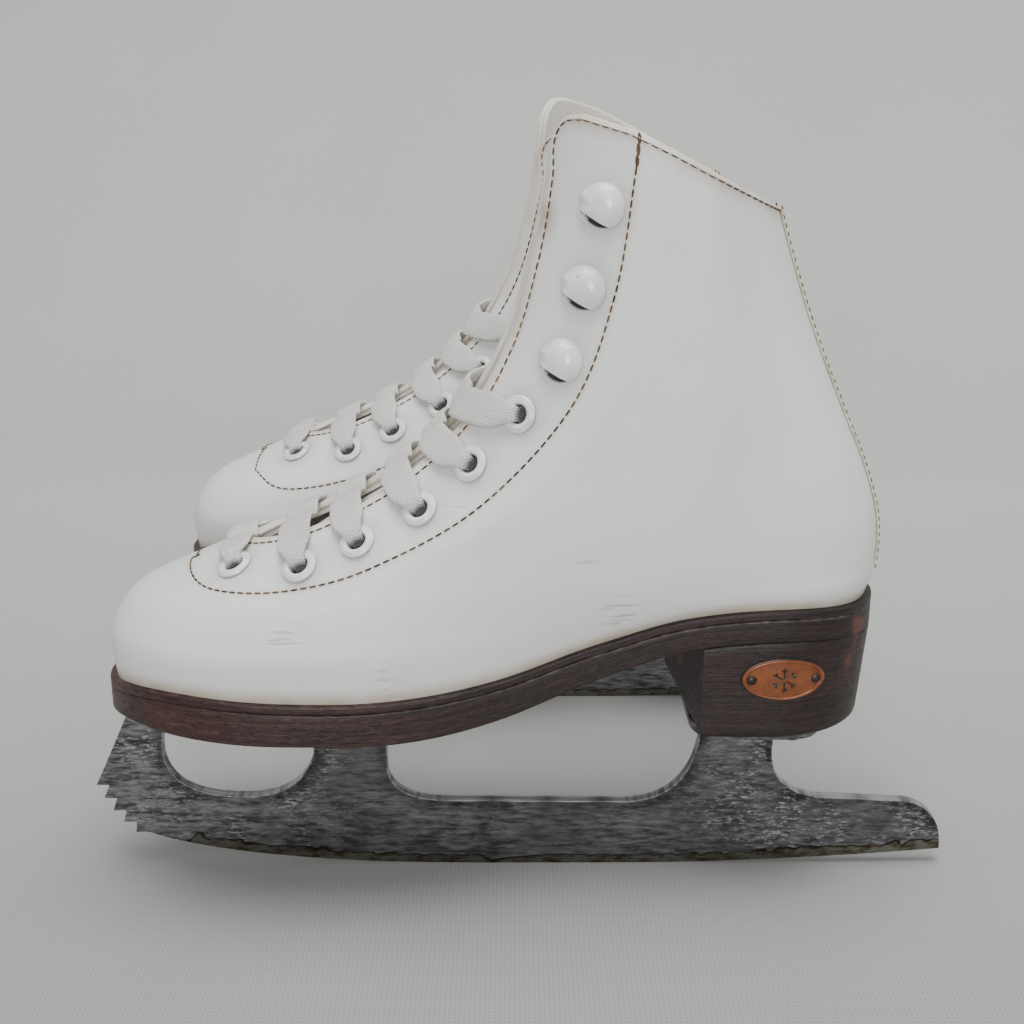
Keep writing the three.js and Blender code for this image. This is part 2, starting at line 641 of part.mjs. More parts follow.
const frontPlate = { from: lengthAt(0.075), to: lengthAt(0.4), half: 17 };
const heelPlate = { from: lengthAt(0.765), to: lengthAt(0.935), half: 19 };
const frontScrews = [[0.15, -1], [0.15, 1], [0.33, -1], [0.33, 1]];
const heelScrews = [[0.895, -1], [0.895, 1]];
const screwInset = 4.5; // plate edge to the screw
const up = new THREE.Vector3(0, 0, 1);
const screwPlaces = [
  ...frontScrews.map(([x, side]) => ({
    point: new THREE.Vector3(lengthAt(x), side * (frontPlate.half - screwInset), bladeHeight + gap),
  })),
  ...heelScrews.map(([x, side]) => ({
    point: new THREE.Vector3(lengthAt(x), side * (heelPlate.half - screwInset), heelBladeTop + gap),
  })),
];

function screw({ point }) {
  return turned([
    new THREE.Vector2(0, -gap - screwHeadRise),
    new THREE.Vector2(0.6 * screwHead, -gap - screwHeadRise),
    new THREE.Vector2(screwHead, -gap - 0.4 * screwHeadRise),
    new THREE.Vector2(screwHead, -gap),
    new THREE.Vector2(screwShank, -gap),
    new THREE.Vector2(screwShank, screwLength),
    new THREE.Vector2(0, screwLength + 1),
  ], smallSides, point, up);
}
const screwHoles = joined(screwPlaces.map(({ point }) => (
  rod(screwShank + gap, -2, screwLength + 1 + gap, smallSides, point, up)
)));

const makeBoard = () => soleLayer(-leather - planInset, (x) => soleTop(x) + gap, boardTop);
const makeSock = () => {
  const low = (x) => boardTop(x) + gap;
  return soleLayer(-liningUnder - planInset, low, (x) => low(x) + sockThickness);
};

// The steel shank stiffens the waist of the sole, let into the top of the midsole.
function shankStrip(grow, depth, over) {
  const half = shankWidth / 2 + grow;
  const plan = planSlab([
    new THREE.Vector2(lengthAt(0.42) - grow, -half), new THREE.Vector2(lengthAt(0.84) + grow, -half),
    new THREE.Vector2(lengthAt(0.84) + grow, half), new THREE.Vector2(lengthAt(0.42) - grow, half),
  ], 0, farUp);
  return plan.intersect(band((x) => soleTop(x) - depth, (x) => soleTop(x) + over));
}
const makeShank = () => shankStrip(0, shankThickness, -0.05);
const makeMidsole = () => {
  const layer = soleLayer(weltReach, (x) => soleTop(x) - midsoleThickness, soleTop);
  return without(layer, [shankStrip(gap, shankThickness + gap, 1), screwHoles]);
};
const outsoleTop = (x) => soleTop(x) - midsoleThickness - gap;
const makeOutsole = () => soleLayer(weltReach, outsoleUnder, outsoleTop).subtract(screwHoles);

// The heel: the sole's own outline behind a breast that reaches further forward on the inner side.
const breastLateral = lengthAt(0.776);
const breastMedial = lengthAt(0.745);
function makeHeel() {
  const half = ballHalfWidth;
  const behindBreast = planSlab([
    new THREE.Vector2(breastLateral, -half), new THREE.Vector2(soleLength + 20, -half),
    new THREE.Vector2(soleLength + 20, half), new THREE.Vector2(breastMedial, half),
  ], 0, farUp);
  const side = sideSlab([
    new THREE.Vector2(0, heelBottom), new THREE.Vector2(soleLength + weltReach - heelTaper - 2, heelBottom),
    new THREE.Vector2(soleLength + weltReach - heelTaper, heelBottom + 3),
    new THREE.Vector2(soleLength + weltReach, heightAt(0.2)), new THREE.Vector2(0, heightAt(0.2)),
  ], -farSide, farSide);
  const below = underSurface((x) => outsoleUnder(x) - gap);
  const body = solePlan(weltReach).intersect(behindBreast).intersect(side).intersect(below);
  return body.subtract(screwHoles);
}

function roundedPlate({ from, to, half }, zTop) {
  const corner = 0.55 * half;
  const shape = new THREE.Shape();
  shape.moveTo(from + corner, -half);
  shape.lineTo(to - corner, -half);
  shape.quadraticCurveTo(to, -half, to, -half + corner);
  shape.lineTo(to, half - corner);
  shape.quadraticCurveTo(to, half, to - corner, half);
  shape.lineTo(from + corner, half);
  shape.quadraticCurveTo(from, half, from, half - corner);
  shape.lineTo(from, -half + corner);
  shape.quadraticCurveTo(from, -half, from + corner, -half);
  return planSlab(shape.getPoints(2), zTop - plateThickness, zTop).subtract(screwHoles);
}
const makeFrontPlate = () => roundedPlate(frontPlate, bladeHeight + gap + plateThickness);
const makeHeelPlate = () => roundedPlate(heelPlate, heelBladeTop + gap + plateThickness);

// The blade: a runner with a rocker and a flat middle that it stands on, a toe pick of teeth on
// an arc, and three stanchions with a cut-out between each two.
const restFrom = lengthAt(0.485);
const restTo = lengthAt(0.63);
const toothCount = 5;
const toothReach = 3.6;
const pickRadius = 39;
const pickCentre = new THREE.Vector2(lengthAt(0.146), runnerHeight + 18.4);
const firstTooth = THREE.MathUtils.degToRad(200.3);
const toothStep = THREE.MathUtils.degToRad(6.65);
const toothTip = (i) => {
  const angle = firstTooth + i * toothStep;
  return new THREE.Vector2(
    pickCentre.x + pickRadius * Math.cos(angle),
    pickCentre.y + pickRadius * Math.sin(angle),
  );
};
const toePickTip = toothTip(0).x;
const tailTip = lengthAt(1.124);

function makeBlade() {
  const top = runnerHeight;
  const front = bladeHeight;
  const rear = heelBladeTop;
  const shape = new THREE.Shape();
  shape.moveTo(restTo, 0);
  shape.quadraticCurveTo(lengthAt(0.88), 0, tailTip, 4.7);
  shape.quadraticCurveTo(tailTip, top - 2, lengthAt(1.07), top - 0.2);
  shape.lineTo(lengthAt(0.955), top + 1);
  shape.quadraticCurveTo(lengthAt(0.885), top + 2.5, lengthAt(0.885), top + 16);
  shape.quadraticCurveTo(lengthAt(0.886), rear - 2, lengthAt(0.92), rear);
  shape.lineTo(lengthAt(0.775), rear);
  shape.quadraticCurveTo(lengthAt(0.79), rear - 3, lengthAt(0.786), top + 20);
  shape.quadraticCurveTo(lengthAt(0.775), top + 0.5, lengthAt(0.69), top - 0.4);
  shape.lineTo(lengthAt(0.45), top);
  shape.quadraticCurveTo(lengthAt(0.365), top, lengthAt(0.365), top + 11);
  shape.lineTo(lengthAt(0.366), front - 5);
  shape.quadraticCurveTo(lengthAt(0.368), front, lengthAt(0.385), front);
  shape.lineTo(lengthAt(0.25), front);
  shape.quadraticCurveTo(lengthAt(0.268), front - 3, lengthAt(0.266), front - 15);
  shape.quadraticCurveTo(lengthAt(0.25), top + 1.2, lengthAt(0.17), top + 1.2);
  shape.quadraticCurveTo(lengthAt(0.062), top + 1.2, lengthAt(0.062), front - 14);
  shape.quadraticCurveTo(lengthAt(0.062), front - 3, lengthAt(0.11), front);
  shape.lineTo(lengthAt(0.026), front);
  shape.lineTo(lengthAt(-0.017), toothTip(0).y + 6.2);
  for (let i = 0; i < toothCount; i += 1) {
    const tip = toothTip(i);
    shape.lineTo(tip.x, tip.y);
    shape.lineTo(tip.x + toothReach, tip.y);
  }
  shape.bezierCurveTo(lengthAt(0.14), 1.8, lengthAt(0.34), 0, restFrom, 0);
  return sideSlab(new THREE.Shape(shape.getPoints(5)), -bladeThickness / 2, bladeThickness / 2);
}

// The badge sits on the outer side of the heel, a plain oval plate.
const badgePlace = { x: lengthAt(0.872), z: heelBottom + 17 };
function makeBadge(heel) {
  const oval = new THREE.EllipseCurve(badgePlace.x, badgePlace.z, badgeHalfLength, badgeHalfHeight);
  const plug = sideSlab(oval.getPoints(20).slice(0, 20), -farSide, -5);
  const outer = solePlan(weltReach + gap + badgeThickness).subtract(solePlan(weltReach + gap));
  return plug.intersect(outer).subtract(heel);
}

// ---- Assembly --------------------------------------------------------------------------------
const paint = (color, roughness, metalness) => (
  new THREE.MeshStandardMaterial({ color, roughness, metalness })
);
const finish = {
  leather: paint(0xeceae6, 0.45, 0),
  suede: paint(0xd8cfba, 0.9, 0),
  lining: paint(0xdedad0, 0.8, 0),
  board: paint(0xb79d78, 0.9, 0),
  sole: paint(0x46332f, 0.5, 0),
  steel: paint(0x8f9394, 0.35, 1),
  enamel: paint(0xf0efec, 0.3, 0.1),
  lace: paint(0xe9e6de, 0.95, 0),
  badge: paint(0xb5642b, 0.4, 0.6),
};

const heelSolid = makeHeel();
const sideParts = Object.entries(halves).flatMap(([side, sign]) => [
  [`quarter_${side}`, makeQuarter(sign), finish.leather],
  [`eyelets_${side}`, makeEyelets(sign), finish.enamel],
  [`hooks_${side}`, makeHooks(sign), finish.enamel],
]);
const parts = [
  ["upper", makeUpper(), finish.leather],
  ...sideParts,
  ["backstay", makeBackstay(), finish.suede],
  ["lining", makeLining(), finish.lining],
  ["heel_counter", makeCounter(), finish.board],
  ["toe_puff", makeToePuff(), finish.board],
  ["tongue_base", tongueSolid(ringAtHeight(throatToe + 4), ringAtHeight(tongueHinge - 0.5), 7), finish.leather],
  ["tongue_flap", tongueSolid(ringAtHeight(tongueHinge + 0.5), ringAtHeight(tongueTop), 5), finish.leather],
  ["lace", makeLace(), finish.lace],
  ["insole_board", makeBoard(), finish.board],
  ["sock_liner", makeSock(), finish.lining],
  ["shank", makeShank(), finish.steel],
  ["midsole", makeMidsole(), finish.sole],
  ["outsole", makeOutsole(), finish.sole],
  ["heel_block", heelSolid, finish.sole],
  ["badge", makeBadge(heelSolid), finish.badge],
  ["blade", makeBlade(), finish.steel],
  ["front_plate", makeFrontPlate(), finish.steel],
  ["heel_plate", makeHeelPlate(), finish.steel],
  ...screwPlaces.map((place, i) => [`plate_screw_${i + 1}`, screw(place), finish.steel]),
];

function skate(prefix, mirror) {
  const group = new THREE.Group();
  for (const [name, solid, material] of parts) {
    const mesh = new THREE.Mesh(toGeometry(solid), material);
    mesh.name = `${prefix}_${name}`;
    group.add(mesh);
  }
  group.scale.y = mirror ? -1 : 1;
  group.position.set(-(toePickTip + tailTip) / 2, ((mirror ? 1 : -1) * pairSpacing) / 2, 0);
  return group;
}

const pair = new THREE.Group();
pair.add(skate("left", false), skate("right", true));
export default pair;
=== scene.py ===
import math

import bmesh
import bpy
import numpy as np
from mathutils import Matrix, Vector, kdtree


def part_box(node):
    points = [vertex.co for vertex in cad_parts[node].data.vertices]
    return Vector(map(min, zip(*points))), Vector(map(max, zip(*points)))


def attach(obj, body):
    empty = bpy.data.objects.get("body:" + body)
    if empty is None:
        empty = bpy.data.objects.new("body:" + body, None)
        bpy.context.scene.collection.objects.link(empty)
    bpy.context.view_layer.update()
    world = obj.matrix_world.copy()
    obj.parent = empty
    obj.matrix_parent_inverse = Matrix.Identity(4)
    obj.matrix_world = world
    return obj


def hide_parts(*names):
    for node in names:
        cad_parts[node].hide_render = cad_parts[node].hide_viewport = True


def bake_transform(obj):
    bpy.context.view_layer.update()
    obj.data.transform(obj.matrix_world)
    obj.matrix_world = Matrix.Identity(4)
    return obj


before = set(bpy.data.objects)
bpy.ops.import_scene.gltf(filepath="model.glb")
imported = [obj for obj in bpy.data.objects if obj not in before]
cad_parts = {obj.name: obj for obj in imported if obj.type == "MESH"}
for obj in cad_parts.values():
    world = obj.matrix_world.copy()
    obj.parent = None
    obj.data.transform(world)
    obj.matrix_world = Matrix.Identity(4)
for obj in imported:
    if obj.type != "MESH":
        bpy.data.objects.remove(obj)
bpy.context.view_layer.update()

MM = 0.001


def linked(name, data):
    """A new object of the scene."""
    thing = bpy.data.objects.new(name, data)
    bpy.context.scene.collection.objects.link(thing)
    return thing


# ---- Camera ------------------------------------------------------------------------------------
SENSOR = 36.0
FOCAL_IN_FRAMES = 1.367  # focal length over the width of the picture
CAMERA_TILT = math.radians(17.9)
camera_data = bpy.data.cameras.new("camera")
camera_data.sensor_width = SENSOR
camera_data.lens = SENSOR * FOCAL_IN_FRAMES
camera_data.clip_start = 0.01
camera = linked("camera", camera_data)
camera.location = (-0.0025, -0.4067, 0.2184)
camera.rotation_euler = (math.pi / 2 - CAMERA_TILT, 0, 0)
bpy.context.scene.camera = camera

# ---- Driving sizes of one skate, in millimetres ------------------------------------------------
sole_length = 206.0
shaft_height = 141.0
ball_half_width = 33.0
gap = 0.3
blade_height = 50.1
heel_blade_drop = 2.4
blade_thickness = 3.2
runner_height = 20.0
plate_thickness = 2.2
outsole_thickness = 9.0
waist_thinning = 3.0
toe_roll = 2.4
midsole_thickness = 3.0
board_thickness = 2.0
sock_thickness = 2.4
welt_reach = 2.0
heel_rise = 21.3
heel_taper = 2.0
leather = 1.6
lining_wall = 1.2
throat_half_gap = 10.5
throat_flare = 2.5
tongue_thickness = 5.0
tongue_clearance = 0.9
tongue_depth = 4.0
lace_sag = 2.0  # how far the lace bars hang between the facing edges
feather_drop = 1.0
toe_inset = 3.0
tail_share = 1.124  # the runner's tail, past the toe end of the sole

sole_bottom_at_ball = blade_height + gap + plate_thickness + gap
ball_height = sole_bottom_at_ball + outsole_thickness + gap + midsole_thickness
heel_blade_top = blade_height - heel_blade_drop
heel_bottom = heel_blade_top + gap + plate_thickness + gap
tail_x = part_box("left_blade")[1].x / MM
sole_start = tail_x - tail_share * sole_length
side_centre = (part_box("right_blade")[0].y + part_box("right_blade")[1].y) / 2 / MM


def length_at(share):
    return share * sole_length


def height_at(share):
    return ball_height + share * shaft_height


# ---- Curves and the surface of the boot --------------------------------------------------------
def smoothstep(at, low, high):
    u = np.clip((np.asarray(at, float) - low) / (high - low), 0, 1)
    return u * u * (3 - 2 * u)


def profile(knots):
    """A smooth height over a distance, through a few knots (distance, height)."""
    x, y = np.array(knots, float).T
    after = np.minimum(np.arange(len(x)) + 1, len(x) - 1)
    before = np.maximum(np.arange(len(x)) - 1, 0)
    slope = (y[after] - y[before]) / (x[after] - x[before])

    def height(at):
        at = np.clip(at, x[0], x[-1])
        i = np.clip(np.searchsorted(x, at, side="right") - 1, 0, len(x) - 2)
        span = x[i + 1] - x[i]
        u = (at - x[i]) / span
        v = 1 - u
        ends = y[i] * (1 + 2 * u) * v * v + y[i + 1] * (3 - 2 * u) * u * u
        return ends + span * u * v * (slope[i] * v - slope[i + 1] * u)

    return height


sole_rise = profile([
    (0, -0.24), (0.06, -0.07), (0.13, 0), (0.39, 0), (0.52, 0.16), (0.645, 0.56),
    (0.75, 0.88), (0.875, 1.01), (1, 0.93),
])


def sole_top(x):
    return ball_height + heel_rise * sole_rise(np.asarray(x) / sole_length)


def outsole_under(x):
    share = np.asarray(x) / sole_length
    front = sole_bottom_at_ball - toe_roll * np.maximum(0, 1 - share / 0.065) ** 2
    waist = smoothstep(share, 0.4, 0.78) * waist_thinning
    back = sole_top(x) - gap - midsole_thickness - outsole_thickness + waist
    return np.where(share < 0.3, front, back)


# Rings of the last from the feather line to the collar: front point, back point (shares of the
# sole length and of the shaft), half widths at ball, waist and heel, and how far each end rounds.
last_rings = [
    ((0.01, -0.037), (0.99, 0.148), (0.96, 0.63, 0.66), (0.25, 0.13)),
    ((0.006, 0.035), (0.998, 0.185), (1.01, 0.73, 0.71), (0.25, 0.13)),
    ((0.016, 0.085), (1.0, 0.215), (0.98, 0.78, 0.72), (0.26, 0.14)),
    ((0.045, 0.135), (1.0, 0.245), (0.94, 0.81, 0.73), (0.28, 0.15)),
    ((0.1, 0.175), (0.997, 0.285), (0.9, 0.82, 0.74), (0.31, 0.16)),
    ((0.165, 0.215), (0.988, 0.335), (0.87, 0.83, 0.74), (0.34, 0.17)),
    ((0.27, 0.275), (0.97, 0.405), (0.85, 0.83, 0.73), (0.36, 0.19)),
    ((0.37, 0.355), (0.948, 0.475), (0.83, 0.825, 0.71), (0.38, 0.22)),
    ((0.455, 0.47), (0.922, 0.56), (0.82, 0.82, 0.7), (0.41, 0.26)),
    ((0.51, 0.61), (0.895, 0.655), (0.815, 0.815, 0.69), (0.44, 0.3)),
    ((0.54, 0.76), (0.872, 0.75), (0.815, 0.815, 0.69), (0.47, 0.32)),
    ((0.555, 0.89), (0.857, 0.815), (0.82, 0.82, 0.7), (0.49, 0.33)),
    ((0.562, 1.025), (0.852, 0.842), (0.825, 0.82, 0.7), (0.5, 0.34)),
]
width_stations = (0.3, 0.65, 0.87)


def over_rings(read):
    last = len(last_rings) - 1
    return profile([(i / last, read(ring)) for i, ring in enumerate(last_rings)])


front_x = over_rings(lambda ring: length_at(ring[0][0]))
front_z = over_rings(lambda ring: height_at(ring[0][1]))
back_x = over_rings(lambda ring: length_at(ring[1][0]))
back_z = over_rings(lambda ring: height_at(ring[1][1]))
ball_width = over_rings(lambda ring: ring[2][0] * ball_half_width)
waist_width = over_rings(lambda ring: ring[2][1] * ball_half_width)
heel_width = over_rings(lambda ring: ring[2][2] * ball_half_width)
front_end = over_rings(lambda ring: ring[3][0])
back_end = over_rings(lambda ring: ring[3][1])


def rounded_end(share):
    return np.sqrt(np.maximum(0, 1 - np.maximum(0, 1 - share) ** 2))


def centre_line(x):
    return toe_inset * np.maximum(0, 1 - x / length_at(0.3)) ** 2


bow_at = [0, 0.06, 0.18, 0.35, 0.52, 0.75, 1]
collar_bow = [0, 0, 1.4, 2.8, 2.4, 1.1, 0]  # the outer side's collar rises by this on its way


def on_ring(s, phi):
    """The boot's outer surface: s from the sole (0) to the collar (1), phi from the front over
    the outer side to the back at pi and along the inner side."""
    s, phi = np.broadcast_arrays(np.asarray(s, float), np.asarray(phi, float))
    t = (1 - np.cos(phi)) / 2
    x = front_x(s) + (back_x(s) - front_x(s)) * t
    chord = front_z(s) + (back_z(s) - front_z(s)) * t
    sole_chord = front_z(0.0) + (back_z(0.0) - front_z(0.0)) * t
    follow_sole = np.maximum(0, 1 - s / 0.3) ** 2
    z = chord + follow_sole * (sole_top(x) - feather_drop - sole_chord)
    z = z + np.interp(t, bow_at, collar_bow) * smoothstep(s, 0.8, 1) * (np.sin(phi) > 0)
    to_waist = smoothstep(t, width_stations[0], width_stations[1])
    to_heel = smoothstep(t, width_stations[1], width_stations[2])
    ball, waist, heel = ball_width(s), waist_width(s), heel_width(s)
    body = ball + (waist - ball) * to_waist + (heel - waist) * to_heel
    half = body * rounded_end(t / front_end(s)) * rounded_end((1 - t) / back_end(s))
    side = np.where(np.sin(phi) >= 0, -1.0, 1.0)
    return np.stack([x, centre_line(x) + side * half, z], -1)


def unit(vectors):
    return vectors / np.maximum(np.linalg.norm(vectors, axis=-1, keepdims=True), 1e-12)


def ring_normal(s, phi):
    step = 1e-3
    along = on_ring(s, phi + step) - on_ring(s, phi - step)
    upwards = on_ring(np.minimum(s + step, 1), phi) - on_ring(np.maximum(s - step, 0), phi)
    return unit(np.cross(along, upwards))


search_s, search_phi = np.meshgrid(np.linspace(0, 1, 81), np.linspace(0.04, math.pi - 0.04, 81))
search_points = on_ring(search_s, search_phi).reshape(-1, 3)


def on_side(places, side):
    """The (s, phi) of the surface on one side (-1 outer, 1 inner) that is seen at each (x, z)."""
    places = np.asarray(places, float).reshape(-1, 2)
    away = (search_points[None, :, 0] - places[:, :1]) ** 2
    away = away + (search_points[None, :, 2] - places[:, 1:]) ** 2
    nearest = away.argmin(1)
    s = search_s.ravel()[nearest].copy()
    phi = search_phi.ravel()[nearest].copy()
    step = 1e-4
    for _ in range(12):
        here, inside = on_ring(s, phi), np.clip(s, 0.002, 0.998)
        by_s = (on_ring(inside + step, phi) - on_ring(inside - step, phi)) / (2 * step)
        by_phi = (on_ring(s, phi + step) - here) / step
        det = by_s[:, 0] * by_phi[:, 2] - by_phi[:, 0] * by_s[:, 2]
        det = np.where(np.abs(det) < 1e-6, 1e-6, det)
        off_x, off_z = places[:, 0] - here[:, 0], places[:, 1] - here[:, 2]
        s = np.clip(s + np.clip((off_x * by_phi[:, 2] - by_phi[:, 0] * off_z) / det, -0.1, 0.1), 0, 1)
        phi = phi + np.clip((by_s[:, 0] * off_z - off_x * by_s[:, 2]) / det, -0.2, 0.2)
        phi = np.clip(phi, 1e-3, math.pi)
    return s, (phi if side < 0 else 2 * math.pi - phi)


# ---- The throat, the facing and the fold -------------------------------------------------------
throat_toe = height_at(0.235)
throat_round = 7.0  # the toe end of the throat rounds off over this height
collar_corner = 11.0  # radius where the throat's edge meets the collar


def throat_half(z):
    return throat_half_gap + throat_flare * (z - throat_toe) / (height_at(1) - throat_toe)


def ring_where(z):
    """The ring whose front point is at a height."""
    s = np.linspace(0, 1, 2001)
    return float(np.interp(z, front_z(s), s))


throat_ring = ring_where(throat_toe)
facing_line = [
    (0.11, 0.19), (0.165, 0.179), (0.27, 0.198), (0.37, 0.244), (0.496, 0.351),
    (0.602, 0.524), (0.65, 0.713), (0.669, 0.9), (0.675, 1.0),
]
inner_facing_line = [
    (0.122, 0.17), (0.175, 0.148), (0.27, 0.172), (0.37, 0.228), (0.496, 0.345),
    (0.602, 0.524), (0.65, 0.713), (0.669, 0.9), (0.675, 1.0),
]
eyelet_places = [
    (0.189, 0.212), (0.276, 0.232), (0.347, 0.277), (0.423, 0.337), (0.484, 0.417), (0.542, 0.507),
]
lace_slants = (0, 0, 1, 2, 5, 9)  # each bar crosses this much nearer the toe than straight over
hook_places = [(0.592, 0.602), (0.617, 0.725), (0.636, 0.86)]
scuff_places = [(0.265, 0.109), (0.28, 0.12), (0.394, 0.04), (0.666, 0.148)]
fold_low = np.array([length_at(0.505), 0, height_at(0.573)])
fold_high = np.array([length_at(0.825), 0, height_at(0.86)])
fold_along = unit(fold_high - fold_low)
fold_up = np.array([-fold_along[2], 0, fold_along[0]])
fold_blend = 9.0  # the span given with each carried piece reaches this height above the fold


collar_drop = 0.003  # the leather's top edge ends this share below the last ring
medial_drop = 0.05  # and the inner side's front corner this much lower again


def lowered(row, share_medial):
    return row - (collar_drop + medial_drop * share_medial) * smoothstep(row, 0.6, 1)


def edge_phi(row, side):
    """Where the leather starts on one row: at the front below the throat, at its edge above."""
    s = float(lowered(row, 1.0 if side > 0 else 0.0))
    if front_z(s) <= throat_toe:
        return 0.0
    phi = np.linspace(0, 2.2, 700)
    points = on_ring(s, phi if side < 0 else 2 * math.pi - phi)
    half = throat_half(points[:, 2]) * rounded_end((front_z(s) - throat_toe) / throat_round)
    start = float(phi[np.argmax(np.abs(points[:, 1]) >= half)])
    below_collar = (1 - row) * float(np.linalg.norm(on_ring(1.0, start) - on_ring(0.9, start))) / 0.1
    into_corner = max(0.0, 1 - below_collar / collar_corner)
    retreat = collar_corner * (1 - math.sqrt(1 - into_corner ** 2))
    return start + retreat * (phi[1] - phi[0]) / float(np.linalg.norm(points[350] - points[349]))


rows = np.unique(np.concatenate([
    np.linspace(0, throat_ring, 40),
    throat_ring + np.array([0.0015, 0.004, 0.008, 0.013, 0.02, 0.03, 0.04]),
    np.linspace(throat_ring + 0.05, 0.93, 46),
    np.linspace(0.938, 1, 16),
]))
toe_row = int(np.searchsorted(rows, throat_ring + 1e-6))
starts = {side: np.array([edge_phi(row, side) for row in rows]) for side in (-1, 1)}
half_columns = 120
across = np.linspace(0, 1, half_columns)
outer_phi = starts[-1][:, None] + (math.pi - starts[-1][:, None]) * across
inner_phi = 2 * math.pi - (starts[1][:, None] + (math.pi - starts[1][:, None]) * across)
wall_phi = np.concatenate([outer_phi, inner_phi[:, -2::-1]], 1)
inner_share = np.where(np.sin(wall_phi) < 0, (1 + np.cos(wall_phi)) / 2, 0)
wall_rows = np.repeat(rows[:, None], wall_phi.shape[1], 1)
wall_s = lowered(wall_rows, inner_share)
wall_points = on_ring(wall_s, wall_phi)
wall_normals = ring_normal(wall_s, wall_phi)
wall_tree = kdtree.KDTree(wall_points.size // 3)
for wall_index, wall_point in enumerate(wall_points.reshape(-1, 3)):
    wall_tree.insert(wall_point, wall_index)
wall_tree.balance()


def edge_loop(grid):
    """The values of a wall grid round the throat and the collar, from toe to toe."""
    return np.concatenate([grid[toe_row:, 0], grid[-1, 1:-1], grid[:toe_row - 1:-1, -1]])


def on_wall(points):
    """Points brought onto the leather's surface, and its normals there."""
    found, normals = [], []
    flat_points, flat_normals = wall_points.reshape(-1, 3), wall_normals.reshape(-1, 3)
    for point in np.asarray(points, float):
        index = wall_tree.find(Vector(point))[1]
        normal = flat_normals[index]
        found.append(point - normal * ((point - flat_points[index]) @ normal))
        normals.append(normal)
    return np.array(found), np.array(normals)


# ---- Mesh helpers ------------------------------------------------------------------------------
def new_mesh(points, faces):
    mesh = bpy.data.meshes.new("work")
    mesh.from_pydata((np.asarray(points, float) * MM).tolist(), [], [list(f) for f in faces])
    mesh.update()
    return mesh


def grid_faces(row_count, column_count, round_columns=False, first=0):
    faces = []
    for i in range(row_count - 1):
        for j in range(column_count - (0 if round_columns else 1)):
            k = (j + 1) % column_count
            a, b = first + i * column_count + j, first + i * column_count + k
            faces.append((a, b, b + column_count, a + column_count))
    return faces


def turns(count):
    return np.linspace(0, 2 * math.pi, count, endpoint=False)


def squared(wave, power):
    """A sine or cosine that makes an oval squarer, the lower the power."""
    return np.sign(wave) * np.abs(wave) ** power


def run_along(points):
    """The distance along a path at each of its points."""
    return np.concatenate([[0], np.cumsum(np.linalg.norm(np.diff(points, axis=0), axis=1))])


def path_axes(points, normals):
    """Unit vectors along a path and across it, in the surface."""
    along = unit(np.gradient(points, axis=0))
    return along, unit(np.cross(along, normals))


def finished(work, mesh=None):
    """What is being edited, written to its mesh or to a new one."""
    mesh = mesh or bpy.data.meshes.new("work")
    work.to_mesh(mesh)
    work.free()
    return mesh


def edited(*meshes):
    work = bmesh.new()
    for mesh in meshes:
        work.from_mesh(mesh)
    return work


def cleaned(mesh):
    """Merged, with its faces pointing out."""
    work = edited(mesh)
    bmesh.ops.remove_doubles(work, verts=work.verts, dist=2e-6)
    bmesh.ops.dissolve_degenerate(work, edges=work.edges, dist=1e-7)
    bmesh.ops.recalc_face_normals(work, faces=work.faces)
    return finished(work, mesh)


def with_modifiers(mesh, *steps):
    """A mesh after modifiers, each given as (type, settings)."""
    work = linked("work", mesh)
    for kind, settings in steps:
        modifier = work.modifiers.new(kind.lower(), kind)
        for key, value in settings.items():
            setattr(modifier, key, value)
    bpy.context.view_layer.update()
    return evaluated(work)


def evaluated(thing):
    """The mesh of an object after its modifiers, in place of the object."""
    shape = thing.evaluated_get(bpy.context.evaluated_depsgraph_get())
    mesh = bpy.data.meshes.new_from_object(shape)
    bpy.data.objects.remove(thing)
    return mesh


def thickened(depth, bevel, angle=50, **settings):
    """Modifier steps: a sheet given a thickness and rounded edges, in millimetres."""
    solid = {"thickness": depth * MM, "offset": -1, **settings}
    return ("SOLIDIFY", solid), rounded(bevel, angle)


def rounded(width, angle=50):
    return "BEVEL", {"width": width * MM, "segments": 2, "limit_method": "ANGLE",
                     "angle_limit": math.radians(angle)}


def joined(meshes):
    """One mesh from several."""
    return finished(edited(*meshes))


def shaded(mesh, sharp_degrees=38):
    """Smooth shading, broken at the sharp edges."""
    work = edited(mesh)
    for face in work.faces:
        face.smooth = True
    for edge in work.edges:
        if len(edge.link_faces) == 2:
            edge.smooth = edge.calc_face_angle(0) < math.radians(sharp_degrees)
    return finished(work, mesh)


def closed_loft(sections):
    """A closed surface through sections of equal point counts, with a cap at each end."""
    sections = np.asarray(sections)
    count = sections.shape[1]
    points = sections.reshape(-1, 3)
    faces = grid_faces(len(sections), count, True)
    last = (len(sections) - 1) * count
    faces += [list(range(count))[::-1], list(range(last, last + count))]
    return cleaned(new_mesh(points, faces))


def lathe(outline, sides, point, normal, closed=False):
    """A turned piece (radius, height) on a place of the surface."""
    normal = np.asarray(normal, float)
    side = unit(np.cross(normal, [0.0, 0.0, 1.0] if abs(normal[2]) < 0.9 else [1.0, 0, 0]))
    ahead = np.cross(normal, side)
    turn = turns(sides)
    around = np.cos(turn)[:, None] * side + np.sin(turn)[:, None] * ahead
    outline = outline + [outline[0]] if closed else outline
    sections = [point + radius * around + height * normal for radius, height in outline]
    points = np.concatenate(sections)
    return cleaned(new_mesh(points, grid_faces(len(outline), sides, True)))


